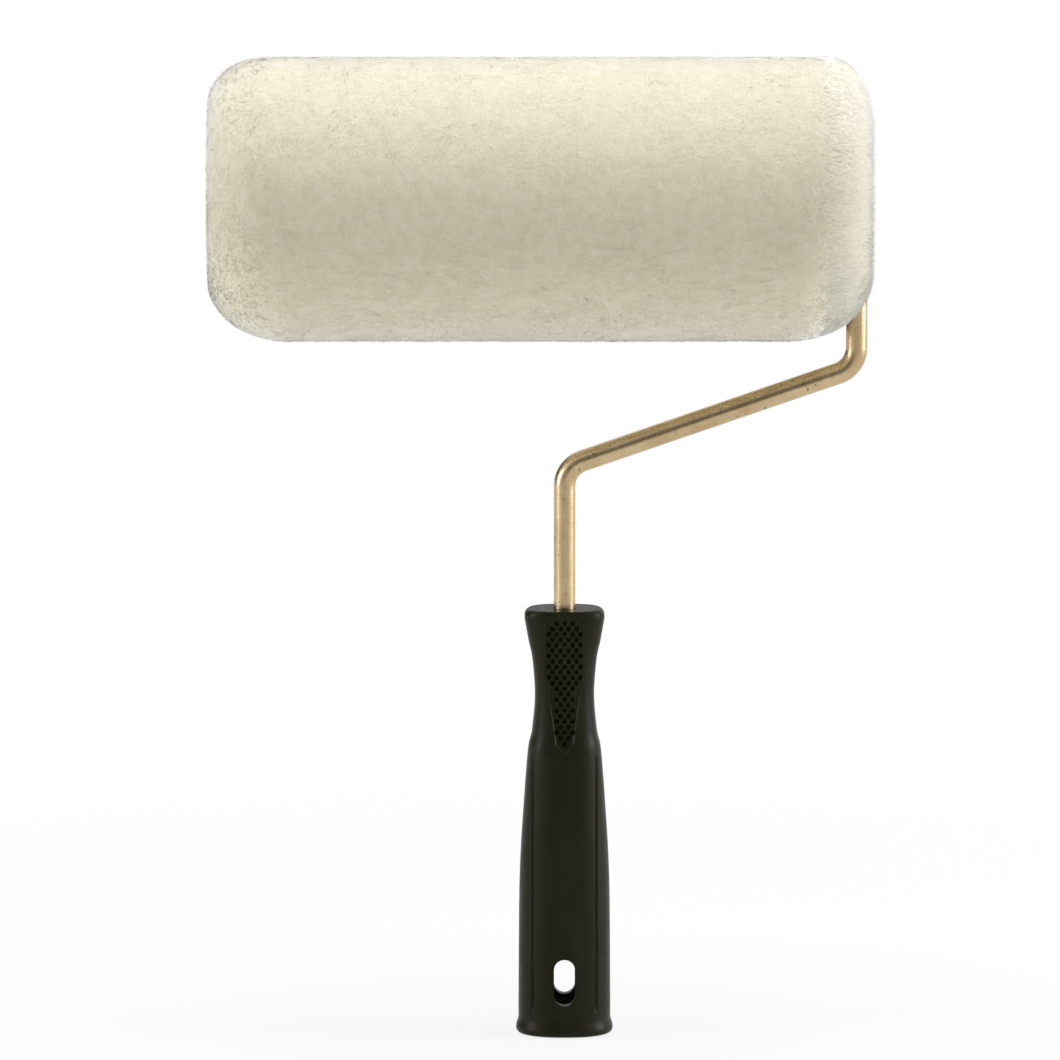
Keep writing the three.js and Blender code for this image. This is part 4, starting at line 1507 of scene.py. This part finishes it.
@dataclass
class Studio:
    """Pale floor and backdrop, soft lamps and the camera. Metres."""

    target: tuple[float, float, float] = (-0.0128, 0.0, 0.1887)
    elevation_degrees: float = 8.7
    distance: float = 5.0
    sensor_mm: float = 36
    lens_mm: float = 458.4906
    lamps: tuple[Softbox, ...] = (
        Softbox("top_softbox", (0.0, -0.05, 1.35), (0, 0, 0.312), 0.8, 14.2),
        Softbox("right_softbox", (1.4, -0.15, 0.45), (0, 0, 0.25), 0.55, 16.5),
        Softbox("left_softbox", (-1.35, -0.4, 0.42), (0, 0, 0.25), 0.5, 8.8),
    )
    floor_mm: float = 3000.0  # half its side
    floor_drop_mm: float = 0.4  # how far it lies below the grip's base
    floor_colour: str = "#f2f2f0"
    fill: float = 0.19
    lamp_colour: str = "#f5f6ff"
    fill_colour: str = "#fffaf0"
    # unlit parts of the room, which only reflections show: towards, from and to cosines, how dark
    unlit: tuple[tuple[tuple[float, float, float], float, float, float], ...] = (
        ((0.0, -1.0, 0.0), 0.5, 0.9, 0.88),
        ((-0.8, 0.6, 0.0), 0.72, 0.88, 0.9),
    )

    def build(self) -> None:
        """Builds the floor, the world, the lamps and the camera."""
        self.floor()
        self.world()
        for softbox in self.lamps:
            self.lamp(softbox)
        self.camera()

    def camera(self) -> None:
        """Adds the camera, which looks along +Y and a little down."""
        tilt = math.radians(self.elevation_degrees)
        data = bpy.data.cameras.new("camera")
        data.sensor_width = self.sensor_mm
        data.lens = self.lens_mm
        camera = bpy.data.objects.new("camera", data)
        target = Vector(self.target)
        away = Vector((0, -math.cos(tilt), math.sin(tilt)))
        camera.location = target + self.distance * away
        camera.rotation_euler = away.to_track_quat("Z", "Y").to_euler()
        bpy.context.scene.collection.objects.link(camera)
        bpy.context.scene.camera = camera

    def lamp(self, softbox: Softbox) -> None:
        """Adds a softbox.

        Args:
            softbox: The softbox.
        """
        data = bpy.data.lights.new(softbox.name, "AREA")
        data.size = softbox.size
        data.energy = softbox.watts
        data.color = linear(self.lamp_colour)[:3]
        lamp = bpy.data.objects.new(softbox.name, data)
        lamp.location = softbox.place
        away = Vector(softbox.place) - Vector(softbox.aim)
        lamp.rotation_euler = away.to_track_quat("Z", "Y").to_euler()
        bpy.context.scene.collection.objects.link(lamp)

    def seen(self, tree: bpy.types.NodeTree) -> bpy.types.NodeSocket:
        """Adds 1 for a ray from the camera, or one reflected or passed through to it, and else 0.

        Args:
            tree: The node tree.

        Returns:
            The value.
        """
        path = add_node(tree, "LightPath")
        total = path.outputs["Is Camera Ray"]
        for name in ("Is Glossy Ray", "Is Transmission Ray"):
            inputs = {0: total, 1: path.outputs[name]}
            total = add_node(tree, "Math", {"operation": "MAXIMUM"}, inputs).outputs[0]
        return total

    def floor(self) -> None:
        """Adds a pale floor that looks nearly white and keeps the object's shadow."""
        side, level = self.floor_mm, -self.floor_drop_mm
        corners = np.array([(x * side, y * side, level) for x, y in ((-1, -1), (1, -1), (1, 1), (-1, 1))])
        material, tree = blank_material("pale_painted_floor")
        matt = add_node(tree, "BsdfDiffuse", inputs={"Color": linear(self.floor_colour)})
        glow = add_node(tree, "Emission", inputs={"Strength": 1.0})
        place = add_node(tree, "TexCoord").outputs["Object"]
        away = add_node(tree, "VectorMath", {"operation": "LENGTH"}, {0: place}).outputs["Value"]
        span = {"Value": away, "From Min": 0.15, "From Max": 0.6, "To Min": 0.85, "To Max": 1.0}
        fade = add_node(tree, "MapRange", inputs=span).outputs[0]
        share = add_node(tree, "Math", {"operation": "MULTIPLY"}, {0: fade, 1: self.seen(tree)}).outputs[0]
        mixed = add_node(tree, "MixShader", inputs={0: share, 1: matt.outputs[0], 2: glow.outputs[0]})
        add_node(tree, "OutputMaterial", inputs={"Surface": mixed.outputs[0]})
        make_mesh("floor", corners, np.array([[0, 1, 2, 3]]), [material], False)

    def world(self) -> None:
        """Makes the world white where it is seen, and dimmer as a light.

        Reflections also show the unlit parts of the room, which give metal its dark lines.
        """
        world = bpy.data.worlds.new("studio")
        bpy.context.scene.world = world
        world.use_nodes = True
        tree = world.node_tree
        tree.nodes.clear()
        heading = add_node(tree, "TexCoord").outputs["Generated"]
        parts = []
        for towards, start, end, dark in self.unlit:
            inputs = {0: heading, 1: towards}
            near = add_node(tree, "VectorMath", {"operation": "DOT_PRODUCT"}, inputs).outputs["Value"]
            span = {"Value": near, "From Min": start, "From Max": end, "To Min": 0.0, "To Max": dark}
            parts.append(add_node(tree, "MapRange", inputs=span).outputs[0])
        room = parts[0]
        for part in parts[1:]:
            room = add_node(tree, "Math", {"operation": "MAXIMUM"}, {0: part, 1: room}).outputs[0]
        glossy = add_node(tree, "LightPath").outputs["Is Glossy Ray"]
        dark = add_node(tree, "Math", {"operation": "MULTIPLY"}, {0: room, 1: glossy}).outputs[0]
        left = add_node(tree, "Math", {"operation": "SUBTRACT"}, {0: 1.0, 1: dark}).outputs[0]
        seen = self.seen(tree)
        span = {"Value": seen, "From Min": 0.0, "From Max": 1.0, "To Min": self.fill, "To Max": 1.0}
        level = add_node(tree, "MapRange", inputs=span).outputs[0]
        strength = add_node(tree, "Math", {"operation": "MULTIPLY"}, {0: level, 1: left}).outputs[0]
        colours = {0: seen, 6: linear(self.fill_colour), 7: linear("#ffffff")}
        colour = add_node(tree, "Mix", {"data_type": "RGBA"}, colours).outputs[2]
        glow = add_node(tree, "Background", inputs={"Color": colour, "Strength": strength})
        add_node(tree, "OutputWorld", inputs={"Surface": glow.outputs[0]})


def main() -> None:
    """Builds the roller and its studio."""
    logging.basicConfig(level=logging.INFO)
    bpy.context.scene.view_settings.view_transform = "Standard"
    Studio().build()
    for assembly in (Rod(), Grip(), Cage(), Cover()):
        assembly.build()


if __name__ == "__main__":
    main()
